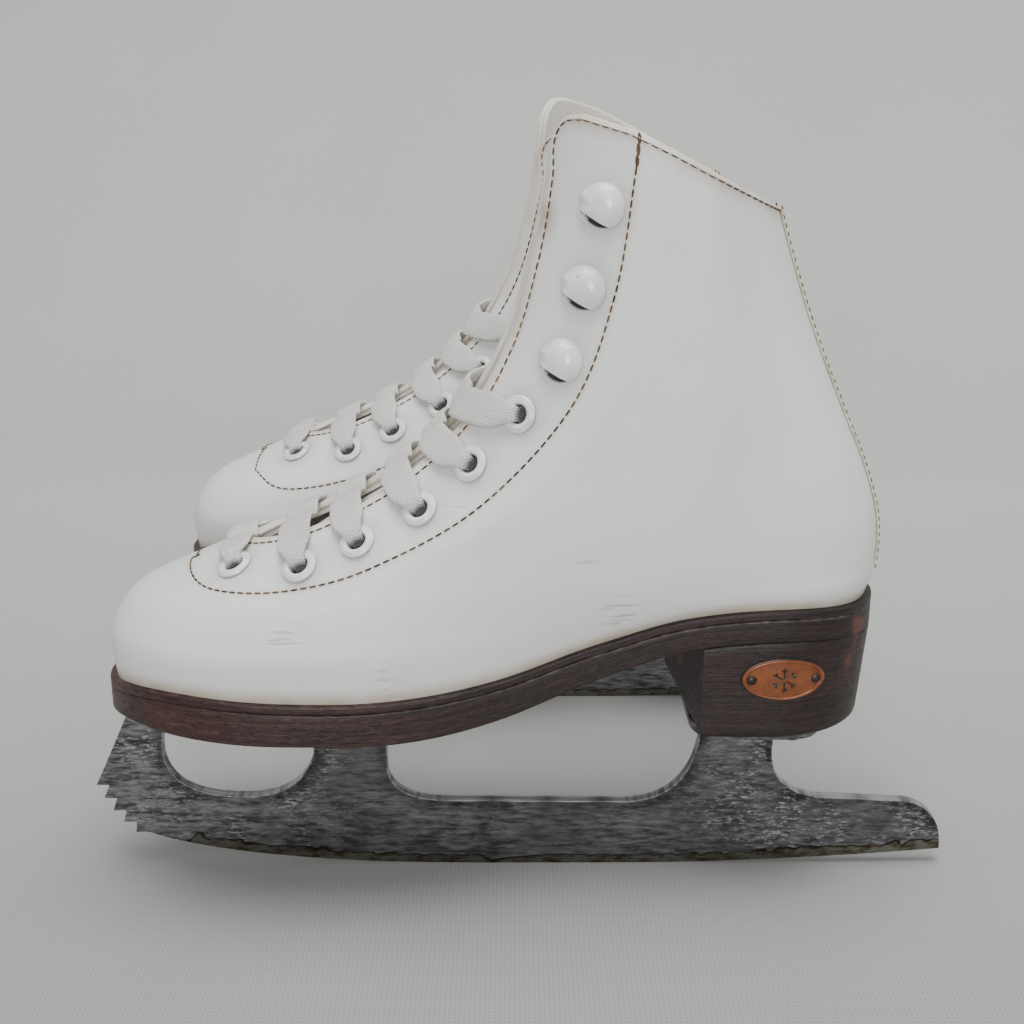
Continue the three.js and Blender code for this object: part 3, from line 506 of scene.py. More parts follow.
def smooth_path(points, count):
    """A Catmull-Rom curve through points, in even steps of its parameter."""
    points = np.asarray(points, float)
    padded = np.concatenate([[2 * points[0] - points[1]], points, [2 * points[-1] - points[-2]]])
    at = np.linspace(0, len(points) - 1, count)
    i = np.minimum(at.astype(int), len(points) - 2)
    u = (at - i)[:, None]
    a, b, c, d = (padded[i + k] for k in range(4))
    return 0.5 * (2 * b + (c - a) * u + (2 * a - 5 * b + 4 * c - d) * u ** 2
                  + (3 * b - a - 3 * c + d) * u ** 3)


def even_path(points, spacing, *others):
    """Points at even distances along a path, with other values carried along."""
    points = np.asarray(points, float)
    run = run_along(points)
    at = np.linspace(0, run[-1], max(2, int(round(run[-1] / spacing)) + 1))
    read = [np.stack([np.interp(at, run, v[:, k]) for k in range(3)], -1) for v in (points, *others)]
    return read if others else read[0]


def swept(path, widths, heights, wides, normals, section_points=16, power=1.0, ripple=None):
    """A strap or tube: a rounded section carried along a path."""
    turn = turns(section_points)
    across_share, up_share = squared(np.cos(turn), power), squared(np.sin(turn), power)
    sections = []
    for i in range(len(path)):
        half_w, half_h = widths[i] / 2, heights[i] / 2
        relief = 0 if ripple is None else ripple(i, across_share)
        offset_w = (across_share * half_w)[:, None] * wides[i]
        offset_n = (up_share * (half_h + relief))[:, None] * normals[i]
        sections.append(path[i] + offset_w + offset_n)
    return closed_loft(sections)


# ---- Placing pieces on both skates -------------------------------------------------------------
SIDES = ("left", "right")


def frame_matrix(side):
    mirror = 1 if side == "left" else -1
    return Matrix(((1, 0, 0, sole_start * MM), (0, mirror, 0, -mirror * side_centre * MM),
                   (0, 0, 1, 0), (0, 0, 0, 1)))


def place(mesh, name, material, body="skate", carried=None, nodes=()):
    """The mesh as a piece of each skate, parented to the empty of one of its bodies. A carried piece is
    only set in the skate's frame and left without a parent; the points of its span are not used."""
    made = []
    for side in SIDES:
        data = mesh.copy()
        data.transform(frame_matrix(side))
        if side == "right":
            data.flip_normals()
        data.materials.clear()
        data.materials.append(material)
        piece = linked(f"{side}_{name}", data)
        if nodes:
            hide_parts(*[f"{side}_{node}" for node in nodes])
        if carried:
            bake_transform(piece)
        else:
            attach(piece, f"{side}_{body}")
        made.append(piece)
    return made


FOLD_SPAN = (fold_low, fold_low + fold_up * fold_blend)


def cut(work, point, normal, **settings):
    everything = work.verts[:] + work.edges[:] + work.faces[:]
    bmesh.ops.bisect_plane(work, geom=everything, dist=1e-7, plane_co=Vector(point) * MM,
                           plane_no=Vector(normal), **settings)


def cut_at_fold(mesh, keep_above, side=0):
    """What lies above or below the fold plane, on one side of the skate or on both."""
    work = edited(mesh)
    cut(work, fold_low, fold_up, clear_inner=keep_above, clear_outer=not keep_above)
    if side:
        gone = [f for f in work.faces if f.calc_center_median().y * side < 0]
        bmesh.ops.delete(work, geom=gone, context="FACES")
    return finished(work)


def place_in_parts(mesh, name, material, nodes=((), (), ())):
    """A piece that crosses the fold, cut there: its lower part goes on the skate's body, and each
    quarter's part is placed as a carried piece.
    """
    place(cut_at_fold(mesh, False), name, material, nodes=nodes[0])
    for quarter, side, stands_for in (("outer", -1, nodes[1]), ("inner", 1, nodes[2])):
        part = cut_at_fold(mesh, True, side)
        if len(part.polygons):
            place(part, f"{name}_{quarter}", material, f"{quarter}_quarter",
                  carried=FOLD_SPAN, nodes=stands_for)


def points_of(mesh):
    return np.array([v.co for v in mesh.vertices])


def painted(mesh, name, values):
    """A mesh with a number, or three, set on each of its points for the materials to read."""
    kind, field = ("FLOAT", "value") if values.ndim == 1 else ("FLOAT_VECTOR", "vector")
    layer = mesh.attributes.new(name, kind, "POINT")
    layer.data.foreach_set(field, values.astype(np.float32).ravel())
    return mesh


def near_path(mesh, name, points, reach):
    """An attribute that is 1 on a path and falls to 0 at a distance from it."""
    points = np.asarray(points) * MM
    tree = kdtree.KDTree(len(points))
    for i, point in enumerate(points):
        tree.insert(point, i)
    tree.balance()
    away = np.array([tree.find(v.co)[2] for v in mesh.vertices]) / (reach * MM)
    painted(mesh, name, np.clip(1 - away, 0, 1))


# ---- Materials ---------------------------------------------------------------------------------
class Finish:
    """A material built from a few kinds of node."""

    def __init__(self, name, **sockets):
        self.material = bpy.data.materials.new(name)
        self.material.use_nodes = True
        self.tree = self.material.node_tree
        self.shader = self.tree.nodes["Principled BSDF"]
        for key, value in sockets.items():
            self.shader.inputs[key.replace("_", " ")].default_value = value
        self.place = self.add("ShaderNodeTexCoord").outputs["Object"]
        self.height = None

    def add(self, kind, **settings):
        node = self.tree.nodes.new(kind)
        for key, value in settings.items():
            setattr(node, key, value)
        return node

    def feed(self, socket, value):
        if isinstance(value, bpy.types.NodeSocket):
            self.tree.links.new(value, socket)
        else:
            socket.default_value = value

    def stretched(self, scale, source=None):
        node = self.add("ShaderNodeMapping")
        self.feed(node.inputs["Vector"], source or self.place)
        node.inputs["Scale"].default_value = scale
        return node.outputs["Vector"]

    def texture(self, node, output, source=None, **inputs):
        for key, value in {"Vector": source or self.place, **inputs}.items():
            self.feed(node.inputs[key], value)
        return node.outputs[output]

    def noise(self, scale, detail=4.0, roughness=0.55, source=None, distortion=0.0):
        return self.texture(self.add("ShaderNodeTexNoise"), "Fac", source, Scale=scale, Detail=detail,
                            Roughness=roughness, Distortion=distortion)

    def cells(self, scale):
        return self.texture(self.add("ShaderNodeTexVoronoi"), "Distance", Scale=scale)

    def weave(self, directions, scale, distortion=0.0, sources=(None, None)):
        """Two crossing waves."""
        waves = [self.texture(self.add("ShaderNodeTexWave", bands_direction=direction), "Fac",
                              source, Scale=scale, Distortion=distortion)
                 for direction, source in zip(directions, sources)]
        return self.times(*waves)

    def attribute(self, name, vector=False):
        node = self.add("ShaderNodeAttribute", attribute_name=name)
        return node.outputs["Vector" if vector else "Fac"]

    def math(self, operation, a, b=0.0, clamp=False):
        node = self.add("ShaderNodeMath", operation=operation, use_clamp=clamp)
        self.feed(node.inputs[0], a)
        self.feed(node.inputs[1], b)
        return node.outputs[0]

    def times(self, a, b):
        return self.math("MULTIPLY", a, b)

    def ranged(self, value, low, high, to_low=0.0, to_high=1.0):
        node = self.add("ShaderNodeMapRange")
        for key, number in (("Value", value), ("From Min", low), ("From Max", high),
                            ("To Min", to_low), ("To Max", to_high)):
            self.feed(node.inputs[key], number)
        return node.outputs["Result"]

    def mix(self, share, a, b):
        node = self.add("ShaderNodeMix", data_type="RGBA")
        self.feed(node.inputs["Factor"], share)
        for socket, colour in ((node.inputs[6], a), (node.inputs[7], b)):
            self.feed(socket, (*colour, 1) if isinstance(colour, tuple) else colour)
        return node.outputs[2]

    def axis(self, letter, source=None):
        node = self.add("ShaderNodeSeparateXYZ")
        self.feed(node.inputs[0], source or self.place)
        return node.outputs[letter]

    def bump(self, height, distance, strength=1.0):
        node = self.add("ShaderNodeBump")
        inputs = {"Strength": strength, "Distance": distance, "Height": height}
        if self.height is not None:
            inputs["Normal"] = self.height
        for key, value in inputs.items():
            self.feed(node.inputs[key], value)
        self.height = node.outputs["Normal"]

    def done(self, colour, roughness):
        self.feed(self.shader.inputs["Base Color"], colour)
        self.feed(self.shader.inputs["Roughness"], roughness)
        if self.height is not None:
            self.feed(self.shader.inputs["Normal"], self.height)
        return self.material


def leather_finish(name, clean, aged):
    """Coated leather: a fine pebble, faint creases, scuffs, tan ageing along its edges, and grey
    painted shade with some dirt round the eyelets and hooks.
    """
    f = Finish(name, Specular_IOR_Level=0.45, Coat_Weight=0.08, Coat_Roughness=0.3)
    cloud = f.noise(9, 3)
    tone = f.mix(f.ranged(cloud, 0.35, 0.7), clean, tuple(c * 0.955 for c in clean))
    patch = f.noise(70, 5, 0.65)
    edge = f.times(f.attribute("near_edge"), f.ranged(patch, 0.35, 0.62))
    tone = f.mix(f.math("MULTIPLY", edge, 0.75, True), tone, aged)
    # painted shade with some dirt: the leather turns grey round the eyelets and hooks
    fitting_shade_and_dirt = f.times(f.ranged(f.attribute("near_fitting"), 0.0, 0.4),
                     f.ranged(patch, 0.3, 0.65, 0.4, 0.9))
    tone = f.mix(f.times(fitting_shade_and_dirt, 0.42), tone, (0.3, 0.285, 0.265))
    stain = f.times(f.attribute("near_stain"), f.ranged(patch, 0.35, 0.6, 0.2, 1))
    tone = f.mix(f.times(stain, 0.8), tone, (0.34, 0.2, 0.1))
    seam = f.math("POWER", f.attribute("near_seam"), 2.0)
    seam = f.times(seam, f.ranged(patch, 0.3, 0.7, 0.1, 0.5))
    tone = f.mix(seam, tone, (0.5, 0.42, 0.3))
    feather = f.math("POWER", f.attribute("near_sole"), 0.9)
    feather = f.times(feather, f.ranged(patch, 0.3, 0.65, 0.45, 1.0))
    tone = f.mix(feather, tone, (0.5, 0.41, 0.26))
    streaks = f.noise(1, 6, 0.6, f.stretched((55, 55, 620)), 0.6)
    where = f.ranged(f.noise(17, 2), 0.6, 0.68)
    scuff = f.times(f.ranged(streaks, 0.655, 0.70), where)
    scuffed = f.ranged(f.attribute("near_scuff"), 0.1, 0.5)
    scratch = f.times(f.ranged(streaks, 0.56, 0.6), scuffed)
    scuff = f.math("MAXIMUM", scuff, scratch)
    tone = f.mix(f.times(scuff, 0.5), tone, (0.27, 0.23, 0.2))
    pebble = f.cells(1500)
    f.bump(pebble, 0.00003, 0.35)
    f.bump(f.noise(230, 6, 0.6), 0.00016, 0.4)
    f.bump(f.noise(1, 4, 0.5, f.stretched((60, 60, 26)), 1.2), 0.0009, 0.35)
    f.bump(scuff, -0.0001, 0.5)
    rough = f.ranged(f.noise(120, 5), 0.3, 0.7, 0.34, 0.5)
    return f.done(tone, rough)


def suede_finish():
    f = Finish("suede", Specular_IOR_Level=0.2, Sheen_Weight=0.35, Sheen_Roughness=0.6)
    patch = f.noise(160, 6, 0.7)
    tone = f.mix(f.ranged(patch, 0.3, 0.7), (0.72, 0.66, 0.52), (0.46, 0.39, 0.26))
    nap = f.noise(2600, 4, 0.7)
    f.bump(nap, 0.00022, 0.8)
    return f.done(tone, 0.92)


def cloth_finish(name, light, dark, weave_scale=1400.0 / 3):
    """A plain weave, from two crossing waves."""
    f = Finish(name, Specular_IOR_Level=0.2, Sheen_Weight=0.2)
    turned = [f.stretched(turn) for turn in ((1, 0, 1), (0, 1, 1))]
    weave = f.weave(("DIAGONAL", "DIAGONAL"), weave_scale, 0.0, turned)
    tone = f.mix(f.ranged(f.noise(60, 5), 0.35, 0.7), light, dark)
    f.bump(weave, 0.00015, 0.6)
    f.bump(f.noise(900, 3), 0.0001, 0.5)
    return f.done(tone, 0.9)


def lace_finish():
    """Flat cotton lace: the weave runs in chevrons along it, read from its own length, and it is
    darkened with painted shadow where it goes down into the eyelets.
    """
    f = Finish("lace_cotton", Specular_IOR_Level=0.18, Sheen_Weight=0.3, Sheen_Roughness=0.5)
    run = f.attribute("strap", True)
    length, width = f.axis("X", run), f.axis("Y", run)
    slant = f.times(f.math("ABSOLUTE", width), 1.1)
    phase = f.times(f.math("ADD", length, slant), 2 * math.pi / 0.95)
    rib = f.math("SINE", phase)
    thread = f.math("SINE", f.times(width, 2 * math.pi / 0.62))
    weave = f.math("ADD", f.times(rib, 0.5), f.times(thread, 0.35))
    fuzz = f.noise(2400, 4, 0.7)
    shade = f.ranged(f.math("ADD", weave, f.times(fuzz, 1.6)), -0.2, 1.6)
    tone = f.mix(shade, (0.5, 0.485, 0.45), (0.82, 0.81, 0.79))
    grime = f.ranged(f.noise(90, 4), 0.45, 0.75, 0, 0.3)
    tone = f.mix(grime, tone, (0.55, 0.5, 0.41))
    # painted shadow: the lace turns near-black where it goes down into an eyelet
    hole_shadow = f.ranged(f.attribute("near_hole"), 0.12, 0.55)
    tone = f.mix(f.times(hole_shadow, 0.92), tone, (0.03, 0.027, 0.025))
    f.bump(weave, 0.00022, 0.75)
    f.bump(fuzz, 0.00025, 0.5)
    return f.done(tone, 0.95)


def thread_finish():
    f = Finish("thread", Specular_IOR_Level=0.25)
    tone = f.mix(f.ranged(f.noise(140, 4), 0.38, 0.62), (0.045, 0.027, 0.016), (0.17, 0.105, 0.055))
    f.bump(f.noise(3500, 2), 0.0001, 0.6)
    return f.done(tone, 0.85)


def sole_finish():
    """Stacked leather, stained dark: thin layers that follow the sole, with a lighter line along the
    welt that is partly wear and partly a painted highlight, and painted shade over the heel's rear.
    """
    f = Finish("sole_stack", Specular_IOR_Level=0.4, Coat_Weight=0.1, Coat_Roughness=0.4)
    grain = f.attribute("grain", True)
    layers = f.noise(1, 7, 0.7, f.stretched((22, 22, 950), grain), 0.4)
    fine = f.noise(1, 5, 0.7, f.stretched((210, 210, 2400), grain))
    speck = f.noise(1, 4, 0.75, f.stretched((420, 420, 1500), grain))
    tone = f.mix(f.ranged(layers, 0.36, 0.66), (0.01, 0.0048, 0.0045), (0.062, 0.027, 0.023))
    tone = f.mix(f.ranged(fine, 0.52, 0.72, 0, 0.5), tone, (0.19, 0.105, 0.088))
    tone = f.mix(f.ranged(speck, 0.52, 0.6, 0, 0.9), tone, (0.006, 0.0035, 0.0035))
    red = f.ranged(f.axis("X", grain), 0.045, 0.0, 0, 0.6)
    red = f.times(red, f.ranged(f.noise(45, 4), 0.35, 0.65))
    tone = f.mix(red, tone, (0.085, 0.022, 0.016))
    # painted shade: the sole and heel turn darker towards the rear
    tone = f.mix(f.ranged(f.axis("X", grain), 0.05, 0.11, 0, 0.55), tone, (0.006, 0.004, 0.004))
    spots = f.ranged(f.noise(34, 3), 0.665, 0.69, 0, 0.75)
    tone = f.mix(spots, tone, (0.12, 0.035, 0.022))
    # a lighter line along the welt, stronger towards the rear: partly wear, partly a painted highlight
    line = f.math("POWER", f.attribute("near_welt"), 4.0)
    line = f.times(line, f.ranged(f.noise(240, 5, 0.7), 0.4, 0.58))
    rearward = f.ranged(f.axis("X", grain), 0.06, 0.12, 0.15, 0.75)
    tone = f.mix(f.times(line, rearward), tone, (0.3, 0.26, 0.25))
    f.bump(layers, 0.00035, 0.6)
    f.bump(speck, 0.0002, 0.5)
    return f.done(tone, f.ranged(speck, 0.3, 0.7, 0.4, 0.62))


def steel_finish(name, along=(170, 170, 900)):
    """Worn steel: brushed along its length, blotched, with painted glints at the toe and tail, painted
    shade round the cut-outs with a painted highlight on their rim, and with a ground band at the foot
    of the runner."""
    f = Finish(name, Metallic=1.0, Anisotropic=0.3)
    grain = f.noise(1, 5, 0.6, f.stretched(along))
    glint = f.noise(1, 3, 0.8, f.stretched((430, 430, 1500)))
    blotch = f.noise(26, 5, 0.62)
    cloud = f.noise(75, 5, 0.7)
    tone = f.mix(f.ranged(grain, 0.36, 0.66), (0.08, 0.08, 0.083), (0.36, 0.36, 0.364))
    tone = f.mix(f.ranged(blotch, 0.42, 0.62, 0, 0.6), tone, (0.1, 0.094, 0.094))
    ends = f.times(f.ranged(f.axis("X"), -0.075, -0.045), f.ranged(f.axis("X"), 0.075, 0.04))
    ends = f.math("SUBTRACT", 1.0, ends)
    lively = f.times(f.ranged(cloud, 0.4, 0.6), f.ranged(ends, 0, 1, 0.18, 1.0))
    tone = f.mix(f.ranged(cloud, 0.45, 0.7, 0, 0.5), tone, (0.045, 0.042, 0.043))
    # painted highlight: bright glints, livelier towards the toe and tail
    painted_glints = f.times(f.ranged(glint, 0.52, 0.62), lively)
    tone = f.mix(f.times(painted_glints, 0.9), tone, (0.72, 0.73, 0.745))
    # painted shade round the cut-outs, and a painted highlight along their rims
    rim = f.attribute("near_cut")
    shade = f.times(f.ranged(rim, 0.05, 0.7), f.ranged(cloud, 0.35, 0.6, 0.1, 0.75))
    tone = f.mix(shade, tone, (0.035, 0.033, 0.036))
    tone = f.mix(f.ranged(rim, 0.9, 0.97, 0, 0.7), tone, (0.55, 0.55, 0.56))
    ground = f.attribute("near_ice")
    fleck = f.ranged(f.noise(1, 5, 0.7, f.stretched((160, 160, 420))), 0.42, 0.62)
    band = f.mix(fleck, (0.2, 0.2, 0.168), (0.075, 0.055, 0.026))
    tone = f.mix(f.ranged(ground, 0.06, 0.1), tone, (0.03, 0.026, 0.02))
    tone = f.mix(f.ranged(ground, 0.12, 0.2), tone, band)
    tone = f.mix(f.ranged(ground, 0.9, 0.99), tone, (0.05, 0.04, 0.03))
    f.bump(grain, 0.00006, 0.35)
    f.bump(glint, 0.00006, 0.4)
    f.bump(cloud, 0.0001, 0.25)
    return f.done(tone, f.ranged(blotch, 0.3, 0.7, 0.27, 0.42))


def enamel_finish():
    """White enamel on metal, chipped in a few small spots."""
    f = Finish("enamel_white", Specular_IOR_Level=0.5, Coat_Weight=0.35, Coat_Roughness=0.12)
    chips = f.ranged(f.noise(520, 3, 0.6), 0.735, 0.75)
    tone = f.mix(f.ranged(f.noise(150, 4), 0.4, 0.7), (0.82, 0.82, 0.81), (0.7, 0.7, 0.69))
    tone = f.mix(chips, tone, (0.12, 0.11, 0.1))
    # painted shade, read from the 'dark' attribute: dark bores, rims and grooves of the eyelets, and
    # dark dish, stem and low cap edges of the hooks
    tone = f.mix(f.attribute("dark"), tone, (0.035, 0.033, 0.03))
    f.bump(f.noise(700, 3), 0.00005, 0.4)
    f.bump(chips, -0.0001, 0.6)
    return f.done(tone, 0.2)


def badge_finish():
    f = Finish("badge_copper", Metallic=0.35, Specular_IOR_Level=0.5)
    cloud = f.noise(260, 5, 0.65)
    tone = f.mix(f.ranged(cloud, 0.3, 0.7), (0.3, 0.095, 0.034), (0.15, 0.045, 0.02))
    f.bump(f.noise(900, 4), 0.00006, 0.5)
    return f.done(tone, f.ranged(cloud, 0.3, 0.7, 0.28, 0.5))


def dark_metal_finish():
    f = Finish("dark_metal", Metallic=0.8)
    tone = f.mix(f.noise(400, 4), (0.02, 0.016, 0.014), (0.09, 0.07, 0.06))
    return f.done(tone, 0.42)


def board_finish():
    f = Finish("fibre_board")
    tone = f.mix(f.ranged(f.noise(500, 5, 0.7), 0.3, 0.7), (0.42, 0.31, 0.19), (0.26, 0.18, 0.1))
    f.bump(f.noise(1200, 4), 0.0001, 0.5)
    return f.done(tone, 0.85)


WHITE = (0.78, 0.775, 0.765)
AGED = (0.62, 0.53, 0.38)
white_leather = leather_finish("white_leather", WHITE, AGED)
edge_leather = leather_finish("edge_leather", (0.74, 0.71, 0.65), AGED)
suede = suede_finish()
lining_cloth = cloth_finish("lining_cloth", (0.74, 0.71, 0.65), (0.6, 0.56, 0.48))
lace_cotton = lace_finish()
thread = thread_finish()
sole_stack = sole_finish()
steel = steel_finish("blade_steel")
enamel = enamel_finish()
copper = badge_finish()
dark_metal = dark_metal_finish()
board = board_finish()

for cad_name in ("insole_board", "heel_counter", "toe_puff"):
    for side in SIDES:
        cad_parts[f"{side}_{cad_name}"].data.materials.clear()
        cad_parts[f"{side}_{cad_name}"].data.materials.append(board)
for side in SIDES:
    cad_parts[f"{side}_shank"].data.materials.clear()
    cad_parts[f"{side}_shank"].data.materials.append(steel)


# ---- Leather and lining ------------------------------------------------------------------------
eyelet_hole = 2.75


def wall(depth, thickness, bevel):
    """A sheet at a depth under the boot's outer surface, thickened inwards, with the holes that
    the eyelets go through."""
    points = wall_points - wall_normals * depth[..., None]
    count = wall_points.shape[1]
    sheet = new_mesh(points.reshape(-1, 3), grid_faces(len(rows), count))
    sheet = cleaned(sheet)
    middle = Vector((length_at(0.5) * MM, 0, height_at(0.1) * MM))
    outer = max(sheet.polygons, key=lambda p: abs(p.center.y))
    if outer.normal.dot(outer.center - middle) < 0:
        sheet.flip_normals()
    thick = with_modifiers(sheet, *thickened(thickness, bevel, 55, use_even_offset=True))
    pin = [(0, -9), (eyelet_hole, -9), (eyelet_hole, 3), (0, 3)]
    cutter = linked("cutter", joined([lathe(pin, 20, *eyelet) for eyelet in eyelets]))
    holed = with_modifiers(thick, ("BOOLEAN", {"object": cutter, "operation": "DIFFERENCE"}))
    bpy.data.objects.remove(cutter)
    return shaded(holed, 50)


def surface_places(shares, side):
    s, phi = on_side([(length_at(x), height_at(z)) for x, z in shares], side)
    return list(zip(on_ring(s, phi), ring_normal(s, phi)))


eyelets_by_side = {side: surface_places(eyelet_places, side) for side in (-1, 1)}
hooks_by_side = {side: surface_places(hook_places, side) for side in (-1, 1)}
eyelets = eyelets_by_side[-1] + eyelets_by_side[1]

edge_points, edge_normals = edge_loop(wall_points), edge_loop(wall_normals)
feather_path = on_ring(0.0, np.linspace(0, 2 * math.pi, 400))
feather_path[:, 2] += feather_drop


def facing_path():
    """The facing's rear seam: from the collar on the outer side, round the toe end of the
    throat, and up to the collar on the inner side."""
    halves = {}
    for side, line in ((-1, facing_line), (1, inner_facing_line)):
        shares = smooth_path([(x, z, 0) for x, z in line], 160)[:, :2]
        places = [(length_at(x), height_at(z)) for x, z in shares]
        s, phi = on_side(places, side)
        kept = s < lowered(1.0, 0.55 if side > 0 else 0.0)
        halves[side] = (on_ring(s, phi)[kept], ring_normal(s, phi)[kept])
    bridge_s = np.interp(length_at(0.125), front_x(np.linspace(0, 1, 400)), np.linspace(0, 1, 400))
    outer_from, inner_to = halves[-1][0][0], halves[1][0][0]
    bridge = smooth_path([halves[-1][0][3], outer_from, on_ring(bridge_s, 0.0), inner_to,
                          halves[1][0][3]], 60)[15:46]
    bridge, bridge_normals = on_wall(bridge)
    points = np.concatenate([halves[-1][0][::-1], bridge[1:-1], halves[1][0]])
    normals = np.concatenate([halves[-1][1][::-1], bridge_normals[1:-1], halves[1][1]])
    return points, normals


edge_rows = edge_loop(wall_rows)
throat_seam = 2.7  # edge to seam along the throat
collar_seam = 0.5


def inside_edge(share):
    """A line inside the edge of the throat and collar, at a share of the way to their seam."""
    rows_too = np.stack([edge_rows] * 3, -1)
    points, normals, at_rows = even_path(edge_points, 1.0, edge_normals, rows_too)
    along = unit(np.gradient(points, axis=0))
    inwards = np.cross(along, unit(normals))
    if inwards[3][1] > 0:
        inwards = -inwards
    to_collar = smoothstep(at_rows[:, 0], 0.93, 0.995)
    above_lace = smoothstep(points[:, 2], height_at(0.42), height_at(0.6)) * (points[:, 1] > 0)
    seam = throat_seam + 2.0 * above_lace
    distance = share * (seam + (collar_seam - seam) * to_collar)
    return on_wall(points + inwards * distance[:, None])


facing_points, facing_normals = facing_path()
border_points, border_normals = inside_edge(1.0)
band_points, band_normals = inside_edge(0.5)

leather_mesh = wall(np.zeros_like(wall_s), leather, 0.45)
near_path(leather_mesh, "near_edge", even_path(edge_points, 1.0), 4.5)
near_path(leather_mesh, "near_seam",
          np.concatenate([even_path(facing_points, 0.6), even_path(border_points, 0.6)]), 1.9)
near_path(leather_mesh, "near_sole", even_path(feather_path, 1.0), 3.2)
# near_fitting carries grey painted shade, with some dirt, on the leather round the eyelets and hooks
fitting_points = np.array([place_here[0] for place_here in eyelets
                           + hooks_by_side[-1] + hooks_by_side[1]])
near_path(leather_mesh, "near_fitting", fitting_points, 9.0)
stain_points = border_points[(np.abs(border_points[:, 2] - height_at(0.83)) < 1.5)
                             & (border_points[:, 1] < 0)]
near_path(leather_mesh, "near_stain", stain_points, 4.5)
scuff_points = [point for point, _ in surface_places(scuff_places, -1)]
near_path(leather_mesh, "near_scuff", scuff_points, 7.0)
place_in_parts(leather_mesh, "boot_leather", white_leather,
               nodes=(("upper",), ("quarter_lateral",), ("quarter_medial",)))


def lining_depth():
    """Close behind the leather, but inside the counter at the heel and the puff at the toe."""
    x, z = wall_points[..., 0], wall_points[..., 2]
    at_heel = smoothstep(x, length_at(0.62), length_at(0.68)) * (1 - smoothstep(z, 125, 142))
    at_toe = 1 - smoothstep(x, length_at(0.12), length_at(0.2))
    return leather + 0.1 + 2.1 * np.maximum(at_heel, at_toe)


lining_mesh = wall(lining_depth(), lining_wall, 0.3)
place_in_parts(lining_mesh, "boot_lining", lining_cloth, nodes=(("lining",), (), ()))


# ---- Rolled edge and stitching -----------------------------------------------------------------
def tube(points, normals, radius, sides=12, depth=0.0):
    """A round bead along a path on the surface, sunk by a depth."""
    points, normals = even_path(points, 1.2, normals)
    normals = unit(normals)
    wides = path_axes(points, normals)[1]
    sizes = np.full(len(points), 2.0) * radius
    return swept(points - normals * depth, sizes, sizes, wides, normals, sides)


edge_bead = tube(edge_points, edge_normals, 0.7, 12, leather / 2)
near_path(edge_bead, "near_edge", even_path(edge_points, 1.0), 30)
place_in_parts(shaded(edge_bead), "rolled_edge", edge_leather)


def make_edge_band():
    """The folded edge: a thin raised band from the edge to its seam."""
    across_band = np.linalg.norm(border_points - even_path(edge_points, 1.0), axis=1)
    along = unit(np.gradient(band_points, axis=0))
    wides = unit(np.cross(along, band_normals))
    heights = np.full(len(band_points), 0.75)
    return swept(band_points + band_normals * 0.05, across_band, heights, wides, band_normals, 14, 0.7)


edge_band = make_edge_band()
near_path(edge_band, "near_edge", even_path(edge_points, 1.0), 8)
near_path(edge_band, "near_stain", stain_points, 4.5)
place_in_parts(shaded(edge_band), "folded_edge", white_leather)


def stitch_meshes(points, normals, pitch=2.45, length=2.05, width=0.52, height=0.3):
    """Short thread ends in a row along a path."""
    points, normals = even_path(points, pitch, normals)
    along = np.gradient(points, axis=0)
    sides, rings = 8, 5
    turn = turns(sides)
    lift = np.linspace(0, math.pi, rings + 2)[1:-1]
    below, above = [], []
    for point, normal, ahead in zip(points, unit(normals), unit(along)):
        wide = unit(np.cross(ahead, normal))
        sections = []
        for angle in lift:
            reach = math.sin(angle) ** 0.6
            centre = point - ahead * (math.cos(angle) * length / 2) + normal * 0.08
            sections.append(centre + reach * (
                np.cos(turn)[:, None] * wide * width / 2 + np.sin(turn)[:, None] * normal * height))
        made = closed_loft(sections)
        is_above = float((point - fold_low) @ fold_up) > 0
        side = -1 if point[1] < 0 else 1
        (above if is_above else below).append((side, made))
    return below, above


def place_stitches(runs, name):
    below, above = [], []
    for points, normals in runs:
        low, high = stitch_meshes(points, normals)
        below += low
        above += high
    place(shaded(joined([m for _, m in below])), name, thread)
    for quarter, side in (("outer", -1), ("inner", 1)):
        mine = [m for where, m in above if where == side]
        place(shaded(joined(mine)), f"{name}_{quarter}", thread,
              f"{quarter}_quarter", carried=FOLD_SPAN)


def bar_tack(points, normals):
    """Close stitches across the top of a seam."""
    along, wides = path_axes(points, normals)
    return [(points + wides * offset + along * shift + normals * 0.1, normals)
            for offset, shift in ((-0.22, 0.3), (0.22, -0.3), (0.0, 0.9))]


seam_runs = [(facing_points, facing_normals), (border_points, border_normals)]
even_facing, even_normals = even_path(facing_points, 1.0, facing_normals)
for tack in (slice(0, 6), slice(-6, None)):
    seam_runs += bar_tack(even_facing[tack], unit(even_normals[tack]))
place_stitches(seam_runs, "stitching")


# ---- Backstay ----------------------------------------------------------------------------------
strip_half_width = 4.6
strip_thickness = 0.55


def strip_phi(s, offset):
    """The angle at which the surface is a distance from the back line."""
    phi = np.linspace(math.pi - 1.2, math.pi + 1.2, 500)
    return float(np.interp(offset, on_ring(s, phi)[:, 1], phi))


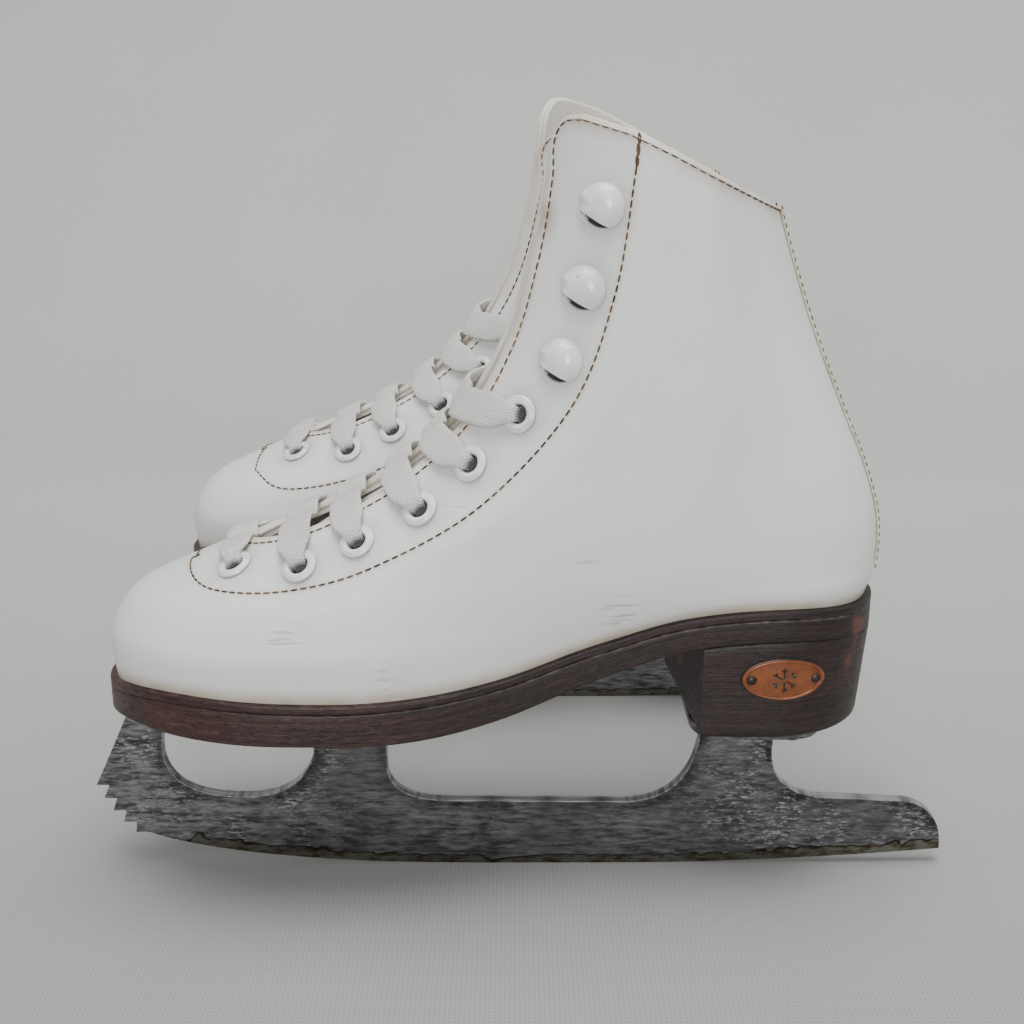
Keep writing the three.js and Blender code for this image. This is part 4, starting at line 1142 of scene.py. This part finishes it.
def make_backstay():
    offsets = np.linspace(-strip_half_width, strip_half_width, 13)
    strip_rows = np.linspace(0.1, 0.995, 70)
    points, normals = [], []
    for s in strip_rows:
        phis = np.array([strip_phi(s, offset) for offset in offsets])
        points.append(on_ring(s, phis))
        normals.append(ring_normal(s, phis))
    points, normals = np.array(points), np.array(normals)
    normals[:, 6] = unit(normals[:, 5] + normals[:, 7])
    raised = points + normals * (strip_thickness + 0.1)
    sheet = cleaned(new_mesh(raised.reshape(-1, 3), grid_faces(len(points), len(offsets))))
    if sheet.polygons[len(sheet.polygons) // 2].normal.x < 0:
        sheet.flip_normals()
    mesh = with_modifiers(sheet, *thickened(strip_thickness, 0.25))
    place(shaded(mesh, 50), "back_strip", suede, nodes=("backstay",))
    return [(raised[:, 1], normals[:, 1]), (raised[:, -2], normals[:, -2])]


strip_seams = make_backstay()
strip_stitches = [m for run in strip_seams
                  for part in stitch_meshes(*run, pitch=2.2, length=1.3, width=0.4, height=0.22)
                  for _, m in part]
place(shaded(joined(strip_stitches)), "back_strip_stitching", thread)


# ---- Eyelets and hooks -------------------------------------------------------------------------
eyelet_outline = [
    (2.45, -2.8), (2.45, 0.5), (2.6, 0.85), (2.95, 1.08), (3.5, 1.12), (3.8, 1.08), (3.92, 0.9),
    (4.04, 1.02), (4.35, 0.88), (4.65, 0.5), (4.8, 0.12), (4.7, -0.05), (3.0, -0.05),
    (2.72, -0.3), (2.72, -2.8),
]


def darkened(mesh, point, normal, rule):
    """An attribute of painted shade, from the distance to an axis and the height on it."""
    off = points_of(mesh) / MM - point
    height = off @ normal
    radius = np.linalg.norm(off - height[:, None] * normal, axis=1)
    return painted(mesh, "dark", np.clip(rule(radius, height), 0, 1))


def make_eyelet(point, normal):
    ring = lathe(eyelet_outline, 48, point, normal, True)
    # painted shade: a dark line round the flange's outer edge, a dark bore, and a faint dark line in
    # the groove
    return darkened(ring, point, normal, lambda r, h: 0.85 * smoothstep(r, 4.66, 4.8)
                    + 0.9 * smoothstep(-h, -0.3, 1.2) * (r < 2.9) + 0.25 * (np.abs(r - 3.92) < 0.04))


hook_radius = 5.6
hook_rise = 3.6
hook_wall = 0.55
lip_angle = math.radians(60)  # from the toe side towards the sole


def hook_axes(normal):
    ahead = unit(np.array([-1.0, 0, 0]) + normal * normal[0])
    down = np.cross(ahead, normal)
    return ahead, down if down[2] < 0 else -down


def turned_away(turn, angle):
    return (turn - angle + math.pi) % (2 * math.pi) - math.pi


def make_hook(point, normal):
    """A domed cap, flattened on its toe side, over a dished foot. The cap is cut back in a
    straight lip where the lace goes under it."""
    ahead, down = hook_axes(normal)
    sides = 72
    turn = turns(sides)
    outwards = np.cos(turn)[:, None] * ahead + np.sin(turn)[:, None] * down
    from_toe, from_lip = turned_away(turn, -0.08), turned_away(turn, lip_angle)
    wing = 1 + 0.16 * (1 - smoothstep(np.abs(from_toe), 0.5, 0.95))
    reach = hook_radius * wing
    reach = np.minimum(reach, 1.02 * hook_radius / np.maximum(np.cos(from_toe), 0.2))
    reach = np.minimum(reach, 1.01 * hook_radius / np.maximum(np.cos(turned_away(turn, -0.95)), 0.2))
    cap_reach = np.minimum(reach, 0.56 * hook_radius / np.maximum(np.cos(from_lip), 0.2))
    mouth = 1 - smoothstep(np.abs(from_lip), 0.65, 1.1)
    drop = hook_rise - 0.75 - mouth * 1.25
    sections = []
    for share in np.linspace(0.02, 1, 14):
        height = hook_rise - drop * (share * cap_reach / reach) ** 3.0
        sections.append(point + (cap_reach * share)[:, None] * outwards + height[:, None] * normal)
    points = np.concatenate(sections)
    sheet = cleaned(new_mesh(points, grid_faces(14, sides, True) + [list(range(sides))]))
    if sheet.polygons[-1].normal.dot(Vector(normal)) < 0:
        sheet.flip_normals()
    cap = with_modifiers(sheet, *thickened(hook_wall, 0.16))
    dish = []
    for share, height in ((0.2, 0.2), (0.7, 0.2), (0.84, 0.3), (0.9, 0.75), (0.94, 0.95),
                          (0.98, 0.85), (1.0, 0.4), (0.97, 0.0), (0.2, 0.0)):
        dish.append(point + (reach * share * (0.94 + 0.06 * mouth))[:, None] * outwards
                    + height * normal)
    foot = closed_loft(dish)
    stem = lathe([(0, -2.6), (2.1, -2.6), (2.1, 0.2), (2.4, 0.2), (2.4, hook_rise - 0.7),
                  (0, hook_rise - 0.7)], 24, point, normal)
    # painted shade: on the cap's low edge by the lip, in the foot's dish inside its raised rim, and
    # over the whole stem
    darkened(cap, point, normal, lambda r, h: 0.5 * (1 - smoothstep(h, 0.3, 1.1)))
    inner = hook_radius * 0.9
    darkened(foot, point, normal, lambda r, h: 1 - smoothstep(r, inner - 0.25, inner + 0.15))
    darkened(stem, point, normal, lambda r, h: 1 + 0 * r)
    return [cap, foot, stem]


for fitting_side, fitting_name, quarter in ((-1, "lateral", "outer"), (1, "medial", "inner")):
    rings_here = [make_eyelet(*place_here) for place_here in eyelets_by_side[fitting_side]]
    low_hook, *high_hooks = hooks_by_side[fitting_side]
    row = joined(rings_here + make_hook(*low_hook))
    place(shaded(row, 50), f"eyelet_row_{fitting_name}", enamel,
          nodes=(f"eyelets_{fitting_name}",))
    pair = joined([piece for hook in high_hooks for piece in make_hook(*hook)])
    place(shaded(pair, 50), f"hook_pair_{fitting_name}", enamel,
          f"{quarter}_quarter", nodes=(f"hooks_{fitting_name}",))


# ---- Lace --------------------------------------------------------------------------------------
lace_width = 9.0
lace_thickness = 1.7
hole_shift = 0.9  # the lace lies against the throat side of its eyelet
instep_slope = np.array([0.52, 0.85])


def lace_bar(index):
    """A bar of the lace: up through one eyelet, over the throat, down through the other."""
    run = np.linspace(0, 1, 1001)
    ridge = np.stack([front_x(run), front_z(run)], -1)
    start = eyelets_by_side[-1][index][0]
    target = np.array([start[0], start[2]]) - lace_slants[index] * instep_slope
    crest_s = run[np.argmin(np.sum((ridge - target) ** 2, axis=1))]
    crest = np.array([front_x(crest_s), centre_line(front_x(crest_s)), front_z(crest_s)])
    crest_normal = unit(ring_normal(crest_s, 1e-3) + ring_normal(crest_s, 2 * math.pi - 1e-3))
    share = np.array([0.2, 0.4, 0.6, 0.78])
    over = 1 - (1 - share) ** 2
    lifts = np.array([2.3, 1.95, 1.8, 1.3])
    path, up = [], []
    for side in (-1, 1):
        point, normal = eyelets_by_side[side][index]
        s, phi = on_side(np.stack([point[0] + (crest[0] - point[0]) * over,
                                   point[2] + (crest[2] - point[2]) * over], -1), side)
        surface, surface_normals = on_ring(s, phi), ring_normal(s, phi)
        inward = unit(surface[0] - point - normal * ((surface[0] - point) @ normal))
        half = [point - normal * 6.5 + inward * hole_shift * 0.3,
                point - normal * 3 + inward * hole_shift * 0.7,
                point + normal * 0.4 + inward * hole_shift,
                point + normal * 1.9 + inward * 2.1]
        half += list(surface + surface_normals * lifts[:, None])
        half_up = [-inward, -inward, unit(normal * 0.25 - inward), unit(normal - inward * 0.7)]
        half_up += list(surface_normals)
        path.append(half)
        up.append(half_up)
    centre = [crest + crest_normal * (1.6 - lace_sag)]
    points = np.array(path[0] + centre + path[1][::-1])
    normals = np.array(up[0] + [crest_normal] + up[1][::-1])
    return ribbon(points, normals, gathered=True)


def ribbon(points, normals, gathered):
    stations = 110 if gathered else 24
    points = smooth_path(points, stations)
    normals = unit(smooth_path(normals, stations))
    along, wides = path_axes(points, normals)
    normals = np.cross(wides, along)
    run = run_along(points)
    near_end = np.minimum(run, run[-1] - run)
    spread = smoothstep(near_end, 5.5, 15) if gathered else np.ones(stations)
    fray = 0.16 * np.sin(run * 3.1 + points[0][0]) + 0.1 * np.sin(run * 7.7 + points[0][2])
    widths = 3.6 + (lace_width - 3.6) * spread + fray * spread
    heights = 2.4 + (lace_thickness - 2.4) * spread

    def ripple(i, across_share):
        slant = np.abs(across_share) * widths[i] / 2
        return 0.07 * np.sin((run[i] + slant * 1.1) * 2 * math.pi / 0.95)

    section, flatness = 28, 0.72
    mesh = swept(points, widths, heights, wides, normals, section, flatness, ripple)
    share = squared(np.cos(turns(section)), flatness)
    values = np.zeros((len(mesh.vertices), 3))
    grid = np.stack([np.repeat(run, section), np.outer(widths / 2, share).ravel(),
                     np.zeros(stations * section)], -1)
    values[:len(grid)] = grid[:len(values)]
    return painted(mesh, "strap", values)


def lace_under_run(side, index):
    """Inside the boot the lace goes from one eyelet of a side to the next."""
    start, end = (eyelets_by_side[side][i] for i in (index, index + 1))
    middle = (start[0] + end[0]) / 2
    normal = unit(start[1] + end[1])
    points = np.array([start[0] - start[1] * 5.6, middle - normal * 5.9, end[0] - end[1] * 5.6])
    return ribbon(smooth_path(points, 6), np.repeat(normal[None], 6, 0), gathered=False)


lace_pieces = [lace_bar(i) for i in range(len(eyelet_places))]
lace_pieces += [lace_under_run((-1, 1)[i % 2], i) for i in range(len(eyelet_places) - 1)]
lace_mesh = shaded(joined(lace_pieces), 70)
# near_hole carries the painted shadow on the lace where it goes down into the eyelets
near_path(lace_mesh, "near_hole", [point - normal * 0.9 for point, normal in eyelets], 3.4)
place(lace_mesh, "lace_bars", lace_cotton, nodes=("lace",))


# ---- Tongue ------------------------------------------------------------------------------------
tongue_from = ring_where(throat_toe + 4)
tongue_to = ring_where(height_at(0.88))
tongue_hinge = height_at(0.575)
tongue_swell = 1.5  # the pad starts this much thinner than its cloth becomes
tongue_wing = 4.0  # the tongue's lower part reaches this far under the facings


def tongue_shape(thickness):
    """A pad that follows the instep under the facings, and stands free above the fold."""
    columns, steps = 25, 70
    side_share = np.linspace(-1, 1, columns)
    top, bottom = [], []
    for share in np.linspace(0, 1, steps):
        s = tongue_from + (tongue_to - tongue_from) * share
        height = float(front_z(s))
        under = 1 - smoothstep(height, tongue_hinge - 16, tongue_hinge - 5)
        end = float(rounded_end(min(share, 1 - share) * 14 + 0.02))
        half = throat_half(max(height, throat_toe)) - tongue_clearance + under * tongue_wing
        ring_phi = np.linspace(0, 1.6, 200)
        across_run = np.abs(on_ring(s, ring_phi)[:, 1] - centre_line(front_x(s)))
        phi = np.interp(np.abs(side_share) * half * end, across_run, ring_phi)
        phi = np.where(side_share < 0, phi, 2 * math.pi - phi)
        normals = ring_normal(s, phi)
        normals[columns // 2] = unit(normals[columns // 2 - 1] + normals[columns // 2 + 1])
        face = on_ring(s, phi)
        sunk = tongue_depth - 0.6 * under * side_share ** 2
        body = thickness * (0.25 + 0.75 * rounded_end((1 - np.abs(side_share)) * 3)) * (0.3 + 0.7 * end)
        middle = face - normals * (sunk + thickness / 2)[:, None]
        top.append(middle + normals * (body / 2)[:, None])
        bottom.append(middle - normals * (body / 2)[:, None])
    sections = [np.concatenate([t, b[::-1]]) for t, b in zip(top, bottom)]
    return closed_loft(sections)


def inflated(mesh, voxel, pressure, cap):
    """The mesh filled like a cushion by a short cloth simulation, no point moving past the cap."""
    start = with_modifiers(mesh, ("REMESH", {"mode": "VOXEL", "voxel_size": voxel * MM}))
    work = linked("pad", start)
    cloth = work.modifiers.new("cloth", "CLOTH")
    cloth.settings.use_pressure = True
    cloth.settings.uniform_pressure_force = pressure
    cloth.settings.effector_weights.gravity = 0
    rest = points_of(start)
    for step in range(1, 21):
        bpy.context.scene.frame_set(step)
    shift = points_of(evaluated(work)) - rest
    size = np.linalg.norm(shift, axis=1, keepdims=True)
    shift = shift * np.minimum(1, cap * MM / np.maximum(size, 1e-9))
    start.vertices.foreach_set("co", (rest + shift).astype(np.float32).ravel())
    bpy.context.scene.frame_set(1)
    return with_modifiers(start, ("SUBSURF", {"levels": 1}))


tongue_mesh = tongue_shape(tongue_thickness - tongue_swell)
tongue_mesh = inflated(tongue_mesh, 1.2, 4.0, 0.5)
tongue_edge = np.concatenate([
    np.array([[front_x(s), side * (throat_half(front_z(s)) - 1.2), front_z(s)]
              for s in np.linspace(tongue_from, tongue_to, 60)]) for side in (-1, 1)])
near_path(tongue_mesh, "near_edge", tongue_edge, 3.0)
tongue_span = [(length_at(0.5), 0, tongue_hinge + rise) for rise in (-3, 4)]
for pad in place(shaded(tongue_mesh, 70), "padded_tongue", edge_leather, "tongue",
                 carried=tongue_span, nodes=("tongue_base", "tongue_flap")):
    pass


# ---- Sole --------------------------------------------------------------------------------------
def sole_edge(phi, grow):
    """Points of the sole's outline, grown outwards."""
    step = 1e-3
    along = on_ring(0.0, phi + step) - on_ring(0.0, phi - step)
    outwards = unit(np.stack([along[:, 1], -along[:, 0], np.zeros(len(phi))], -1))
    return on_ring(0.0, phi) + outwards * grow


def grain_of(mesh, base):
    """Where each point lies in the stack: along, across, and the height over a curved base."""
    values = points_of(mesh)
    values[:, 2] -= base(values[:, 0] / MM) * MM
    return painted(mesh, "grain", values)


def quarter_turned(u, v, times):
    for _ in range(times):
        u, v = -v, u
    return u, v


def slab(grow, low, high, corner, stations=150):
    """A layer of the sole: sections across it from toe to heel, with rounded edges."""
    phi = np.linspace(0.012, math.pi - 0.012, stations)
    outer = sole_edge(phi, grow)
    inner = sole_edge(2 * math.pi - phi, grow)
    turn = np.radians([0, 22, 45, 68, 90])
    sections = []
    for a, b in zip(outer, inner):
        wide = max(np.linalg.norm(b - a), 0.1)
        ahead = (b - a) / wide
        x = (a[0] + b[0]) / 2
        bottom, top = float(low(x)), float(high(x))
        r = min(corner, wide / 2.2, (top - bottom) / 2.2)
        across_half, up_half = wide / 2 - r, (top - bottom) / 2 - r
        ring = []
        for side in range(4):
            along_side = (across_half, up_half)[side % 2]
            outwards = up_half if side % 2 == 0 else across_half
            for share in np.linspace(-1, 1, (9, 6)[side % 2])[1:-1]:
                ring.append(quarter_turned(share * along_side, -outwards - r, side))
            for angle in turn:
                ring.append(quarter_turned(along_side + r * math.sin(angle),
                                           -outwards - r * math.cos(angle), side))
        ring = [(u + wide / 2, v + (bottom + top) / 2) for u, v in ring]
        start = np.array([a[0], a[1], 0])
        flat = np.array([ahead[0], ahead[1], 0])
        sections.append([start + flat * w + np.array([0, 0, z]) for w, z in ring])
    return closed_loft(sections)


def welt_path():
    points = sole_edge(np.linspace(0, 2 * math.pi, 500), welt_reach)
    points[:, 2] = sole_top(points[:, 0]) - midsole_thickness - 0.1
    return points


welt_drop = 0.9  # the welt's top edge lies this much under the foot's bed


def under_foot(drop):
    return lambda x: sole_top(x) - drop


midsole = slab(welt_reach, under_foot(midsole_thickness), under_foot(welt_drop), 0.45)
outsole = slab(welt_reach, outsole_under, under_foot(midsole_thickness + 0.02), 0.6)
for layer_mesh in (midsole, outsole):
    grain_of(layer_mesh, outsole_under)
    # near_welt carries the lighter welt line, partly wear and partly a painted highlight
    near_path(layer_mesh, "near_welt", welt_path(), 1.1)
place(shaded(midsole), "welt", sole_stack, nodes=("midsole",))
place(shaded(outsole), "long_sole", sole_stack, nodes=("outsole",))


sock_inset = 5.6
sock_under = -2 * gap - board_thickness
sock = slab(-sock_inset, under_foot(sock_under), under_foot(sock_under - sock_thickness), 0.8)
place(shaded(sock), "sock_pad", lining_cloth, nodes=("sock_liner",))

# ---- Heel --------------------------------------------------------------------------------------
breast_lateral = length_at(0.776)
breast_medial = length_at(0.745)


def heel_outline(inset):
    """The sole's outline behind a straight breast, pulled in by an inset."""
    phi = np.linspace(1.2, 2 * math.pi - 1.2, 240)
    edge = sole_edge(phi, welt_reach - inset)
    slant = (breast_medial - breast_lateral) / (2 * ball_half_width)
    breast = breast_lateral + slant * (edge[:, 1] + ball_half_width) + inset
    kept = edge[edge[:, 0] > breast]
    ends = [[breast_lateral + slant * (y + ball_half_width) + inset, y, 0]
            for y in kept[[0, -1], 1]]
    kept = np.concatenate([ends[:1], kept, ends[1:]])
    run = run_along(kept[:, :2])
    even = np.linspace(0, run[-1], 120)
    around = np.stack([np.interp(even, run, kept[:, k]) for k in range(2)], -1)
    closing = np.linspace(around[-1], around[0], 26)[1:-1]
    return np.concatenate([around, closing])


def make_heel():
    sections = []
    levels = [(0, 1.1), (0.012, 0.5), (0.03, 0.15), (0.06, 0)]
    levels += [(v, 0) for v in np.linspace(0.12, 0.97, 16)] + [(0.99, 0.12), (1, 0.4)]
    for level, inset in levels:
        plan = heel_outline(inset)
        lean = heel_taper * (1 - level) * smoothstep(plan[:, 0], breast_lateral, sole_length)
        x = plan[:, 0] - lean
        top = outsole_under(plan[:, 0]) - 0.05
        sections.append(np.stack([x, plan[:, 1], heel_bottom + (top - heel_bottom) * level], -1))
    mesh = closed_loft(sections)
    grain_of(mesh, lambda x: np.full_like(x, heel_bottom))
    return shaded(mesh)


place(make_heel(), "stacked_heel", sole_stack, nodes=("heel_block",))


# ---- Blade, plates and screws ------------------------------------------------------------------
def trace(start, steps):
    """An outline (x, z) from straight, quadratic and cubic steps."""
    points = [np.array(start, float)]
    for step in steps:
        here = points[-1]
        ctrl = [here] + [np.array(p, float) for p in step]
        if len(ctrl) == 2:
            points.append(ctrl[1])
            continue
        for u in np.linspace(0, 1, 17)[1:]:
            work = ctrl
            while len(work) > 1:
                work = [a + (b - a) * u for a, b in zip(work, work[1:])]
            points.append(work[0])
    return points


def blade_outline():
    top, front, rear, l = runner_height, blade_height, heel_blade_top, length_at
    pick_centre = np.array([l(0.146), top + 18.4])
    pick_radius, tooth_reach = 39, 3.6
    first_tooth, tooth_step = math.radians(200.3), math.radians(6.65)
    tips = [pick_centre + pick_radius * np.array([math.cos(a), math.sin(a)])
            for a in (first_tooth + i * tooth_step for i in range(5))]
    teeth = []
    for tip in tips:
        teeth += [[tip], [tip + np.array([tooth_reach, 0])]]
    return trace((l(0.63), 0), [
        [(l(0.88), 0), (l(tail_share), 4.7)],
        [(l(tail_share), top - 2), (l(1.07), top - 0.2)],
        [(l(0.955), top + 1)],
        [(l(0.885), top + 2.5), (l(0.885), top + 16)],
        [(l(0.886), rear - 2), (l(0.92), rear)],
        [(l(0.775), rear)],
        [(l(0.79), rear - 3), (l(0.786), top + 20)],
        [(l(0.775), top + 0.5), (l(0.69), top - 0.4)],
        [(l(0.45), top)],
        [(l(0.365), top), (l(0.365), top + 11)],
        [(l(0.366), front - 5)],
        [(l(0.368), front), (l(0.385), front)],
        [(l(0.25), front)],
        [(l(0.268), front - 3), (l(0.266), front - 15)],
        [(l(0.25), top + 1.2), (l(0.17), top + 1.2)],
        [(l(0.062), top + 1.2), (l(0.062), front - 14)],
        [(l(0.062), front - 3), (l(0.11), front)],
        [(l(0.026), front)],
        [(l(-0.017), tips[0][1] + 6.2)],
        *teeth,
        [(l(0.14), 1.8), (l(0.34), 0), (l(0.485), 0)],
    ])


def plate_solid(points, low, high, upright, bevel):
    """A flat plate from an outline: upright in x-z, or lying in x-y."""
    work = bmesh.new()
    at = (lambda p, d: (p[0], d, p[1])) if upright else (lambda p, d: (p[0], p[1], d))
    clean = [p for i, p in enumerate(points) if np.linalg.norm(p - points[i - 1]) > 0.02]
    verts = [work.verts.new(Vector(at(p, low)) * MM) for p in clean]
    face = work.faces.new(verts)
    moved = bmesh.ops.extrude_face_region(work, geom=[face])["geom"]
    shift = Vector(at((0, 0), high - low)) * MM
    for v in [g for g in moved if isinstance(g, bmesh.types.BMVert)]:
        v.co += shift
    bmesh.ops.recalc_face_normals(work, faces=work.faces)
    return with_modifiers(finished(work), rounded(bevel))


blade_points = blade_outline()
blade_half = blade_thickness / 2
blade = plate_solid(blade_points, -blade_half, blade_half, True, 0.22)
blade_work = edited(blade)  # cut into a grid that is fine enough to hold the painted attributes
for z_cut in [0.6, 1.2, 1.8, 2.4, 3.0, 3.8] + list(np.arange(6, 50, 2.2)):
    cut(blade_work, (0, 0, z_cut), (0, 0, 1))
for x_cut in np.arange(1, 230, 2.2):
    cut(blade_work, (x_cut, 0, 0), (1, 0, 0))
finished(blade_work, blade)
bottom_points = [(x, y, z) for x, z in blade_points if z < 6 for y in (-blade_half, blade_half)]
near_path(blade, "near_ice", even_path(sorted(bottom_points), 0.8), 3.1)
# near_cut carries the painted shade round the cut-outs and the painted highlight on their rims
rim_path = even_path([(x, 0, z) for x, z in blade_points if z > 12 and x > length_at(0.04)], 0.7)
rim_path = np.concatenate([rim_path + np.array([0, y, 0]) for y in (-blade_half, blade_half)])
near_path(blade, "near_cut", rim_path, 4.2)
place(shaded(blade, 25), "runner", steel, nodes=("blade",))


def plate_outline(x_from, x_to, half):
    corner = 0.55 * half
    return trace((x_from + corner, -half), [
        [(x_to - corner, -half)], [(x_to, -half), (x_to, -half + corner)],
        [(x_to, half - corner)], [(x_to, half), (x_to - corner, half)],
        [(x_from + corner, half)], [(x_from, half), (x_from, half - corner)],
        [(x_from, -half + corner)], [(x_from, -half), (x_from + corner, -half)],
    ])


front_plate = (length_at(0.075), length_at(0.4), 17.0)
heel_plate = (length_at(0.765), length_at(0.935), 19.0)
for plate_name, plan, plate_z in (("front_plate", front_plate, blade_height + gap),
                                  ("heel_plate", heel_plate, heel_blade_top + gap)):
    solid = plate_solid(plate_outline(*plan), plate_z - gap, plate_z + plate_thickness, False, 0.3)
    place(shaded(solid, 25), f"{plate_name}_steel", steel, nodes=(plate_name,))

screw_inset = 4.5
screw_spots = [(length_at(x), side * (front_plate[2] - screw_inset), blade_height + gap)
               for x, side in ((0.15, -1), (0.15, 1), (0.33, -1), (0.33, 1))]
screw_spots += [(length_at(0.895), side * (heel_plate[2] - screw_inset), heel_blade_top + gap)
                for side in (-1, 1)]
screw_outline = [
    (0, 1.0), (0.55, 1.0), (0.62, 1.72), (1.5, 1.68), (2.5, 1.4), (3.2, 0.8), (3.5, 0.25),
    (3.5, 0.1), (1.6, 0.1), (1.6, -6), (0, -6),
]
down = np.array([0, 0, -1.0])
screws = []
for spot in screw_spots:
    screws.append(lathe(screw_outline, 32, np.array(spot), down))
    for turned in (0, math.pi / 2):
        reach = np.array([math.cos(turned), math.sin(turned), 0]) * 1.7
        across_slot = np.array([-reach[1], reach[0], 0]) * 0.2
        corners = [np.array(spot) + down * 1.74 + a + b
                   for a, b in ((reach, across_slot), (-reach, across_slot),
                                (-reach, -across_slot), (reach, -across_slot))]
        screws.append(closed_loft([corners, [c - down * 0.5 for c in corners]]))
place(shaded(joined(screws), 40), "plate_screws", steel,
      nodes=tuple(f"plate_screw_{i}" for i in range(1, 7)))

# ---- Badge: a plain oval plate with a rim, a six-armed star and two pins ------------------------
badge_half_length = 10.8
badge_half_height = 5.5
badge_x = length_at(0.872)
badge_z = heel_bottom + 17
side_line = sole_edge(np.linspace(1.0, math.pi - 0.02, 400), welt_reach)


def on_heel(x, z, out):
    y = np.interp(x, side_line[:, 0], side_line[:, 1])
    return np.stack([x, y - out, z + 0 * x], -1)


def badge_oval(turn, share, out):
    return on_heel(badge_x + badge_half_length * share * np.cos(turn),
                   badge_z + badge_half_height * share * np.sin(turn), out)


def facing_out(points):
    return np.repeat(np.array([[0, -1.0, 0]]), len(points), 0)


def make_badge():
    turn = turns(64)
    levels = [(1.0, -0.6), (1.0, 0.75), (0.985, 0.98), (0.95, 1.08), (0.91, 1.02), (0.885, 0.82),
              (0.6, 0.95), (0.3, 1.02), (0.02, 1.05)]
    return shaded(closed_loft([badge_oval(turn, *level) for level in levels]), 30)


def badge_marks():
    marks = []
    for arm in range(6):
        angle = math.pi / 6 + arm * math.pi / 3
        lines = [((0.5, 0), (3.4, 0)), ((2.1, 0), (2.9, 0.75)), ((2.1, 0), (2.9, -0.75))]
        for a, b in lines:
            ends = [(u * math.cos(angle) - v * math.sin(angle),
                     u * math.sin(angle) + v * math.cos(angle)) for u, v in (a, b)]
            path = np.linspace(ends[0], ends[1], 5)
            points = on_heel(badge_x + path[:, 0], badge_z + path[:, 1], 1.02)
            marks.append(tube(points, facing_out(points), 0.2, 8))
    for end in (-1, 1):
        point = on_heel(np.array([badge_x + end * 8.3]), badge_z, 0.75)[0]
        marks.append(lathe([(0, -0.5), (1.25, -0.5), (1.25, 0.35), (1.0, 0.62), (0.5, 0.75), (0, 0.78)],
                           24, point, np.array([0.08, -1.0, 0])))
    rim = badge_oval(np.linspace(0, 2 * math.pi, 90), 1.0, 0.3)
    marks.append(tube(rim, facing_out(rim), 0.32, 8))
    return shaded(joined(marks), 40)


place(make_badge(), "oval_badge", copper, nodes=("badge",))
place(badge_marks(), "badge_marks", dark_metal)


# ---- Studio ------------------------------------------------------------------------------------
def backdrop_finish():
    """Pale cloth: a woven floor that runs up into the wall, painted darker towards the front as painted
    shade.
    """
    f = Finish("backdrop", Specular_IOR_Level=0.1)
    # painted shade: the cloth is painted darker at the front of the floor and lighter towards the wall
    back = f.ranged(f.axis("Y"), -0.25, 0.3)
    tone = f.mix(back, (0.27, 0.27, 0.268), (0.53, 0.53, 0.505))
    cloud = f.ranged(f.noise(6, 3), 0.3, 0.7, 0, 0.35)
    tone = f.mix(cloud, tone, (0.47, 0.47, 0.45))
    weave = f.weave(("X", "Y"), 260, 0.6)
    near = f.ranged(f.axis("Y"), 0.1, -0.1, 0, 0.5)
    tone = f.mix(f.times(weave, near), tone, (0.22, 0.22, 0.22))
    f.bump(weave, 0.0002, 0.35)
    return f.done(tone, 0.95)


def make_backdrop():
    """A floor that curves up into a wall behind the skates, wide on every side."""
    bend, behind, tall, wide = 0.35, 0.75, 2.2, 3.0
    line = [(-3.0, 0.0), (behind - bend, 0.0)]
    line += [(behind - bend + bend * math.sin(a), bend - bend * math.cos(a))
             for a in np.linspace(0, math.pi / 2, 24)[1:]]
    line.append((behind, tall))
    points = np.array([(x, y, z) for y, z in line for x in (-wide, wide)]) / MM
    sweep = new_mesh(points, grid_faces(len(line), 2))
    sweep.materials.append(backdrop_finish())
    for polygon in sweep.polygons:
        polygon.use_smooth = True
    linked("backdrop", sweep)


make_backdrop()


def soft_light(name, place_at, target, size, watts):
    data = bpy.data.lights.new(name, "AREA")
    data.shape = "DISK"
    data.size = size
    data.energy = watts
    lamp = linked(name, data)
    lamp.location = place_at
    lamp.rotation_euler = (Vector(target) - Vector(place_at)).to_track_quat("-Z", "Y").to_euler()


soft_light("over", (0.0, -0.15, 1.25), (0, 0, 0.08), 0.9, 15)
soft_light("front", (-0.05, -1.5, 0.5), (0, 0, 0.12), 0.7, 15)
soft_light("back_right", (1.1, 0.2, 0.8), (0, 0, 0.1), 0.8, 3)
world = bpy.data.worlds.new("studio")
world.use_nodes = True
sky = world.node_tree.nodes["Background"].inputs
sky["Color"].default_value = (0.95, 0.97, 1.0, 1)
sky["Strength"].default_value = 0.42
bpy.context.scene.world = world
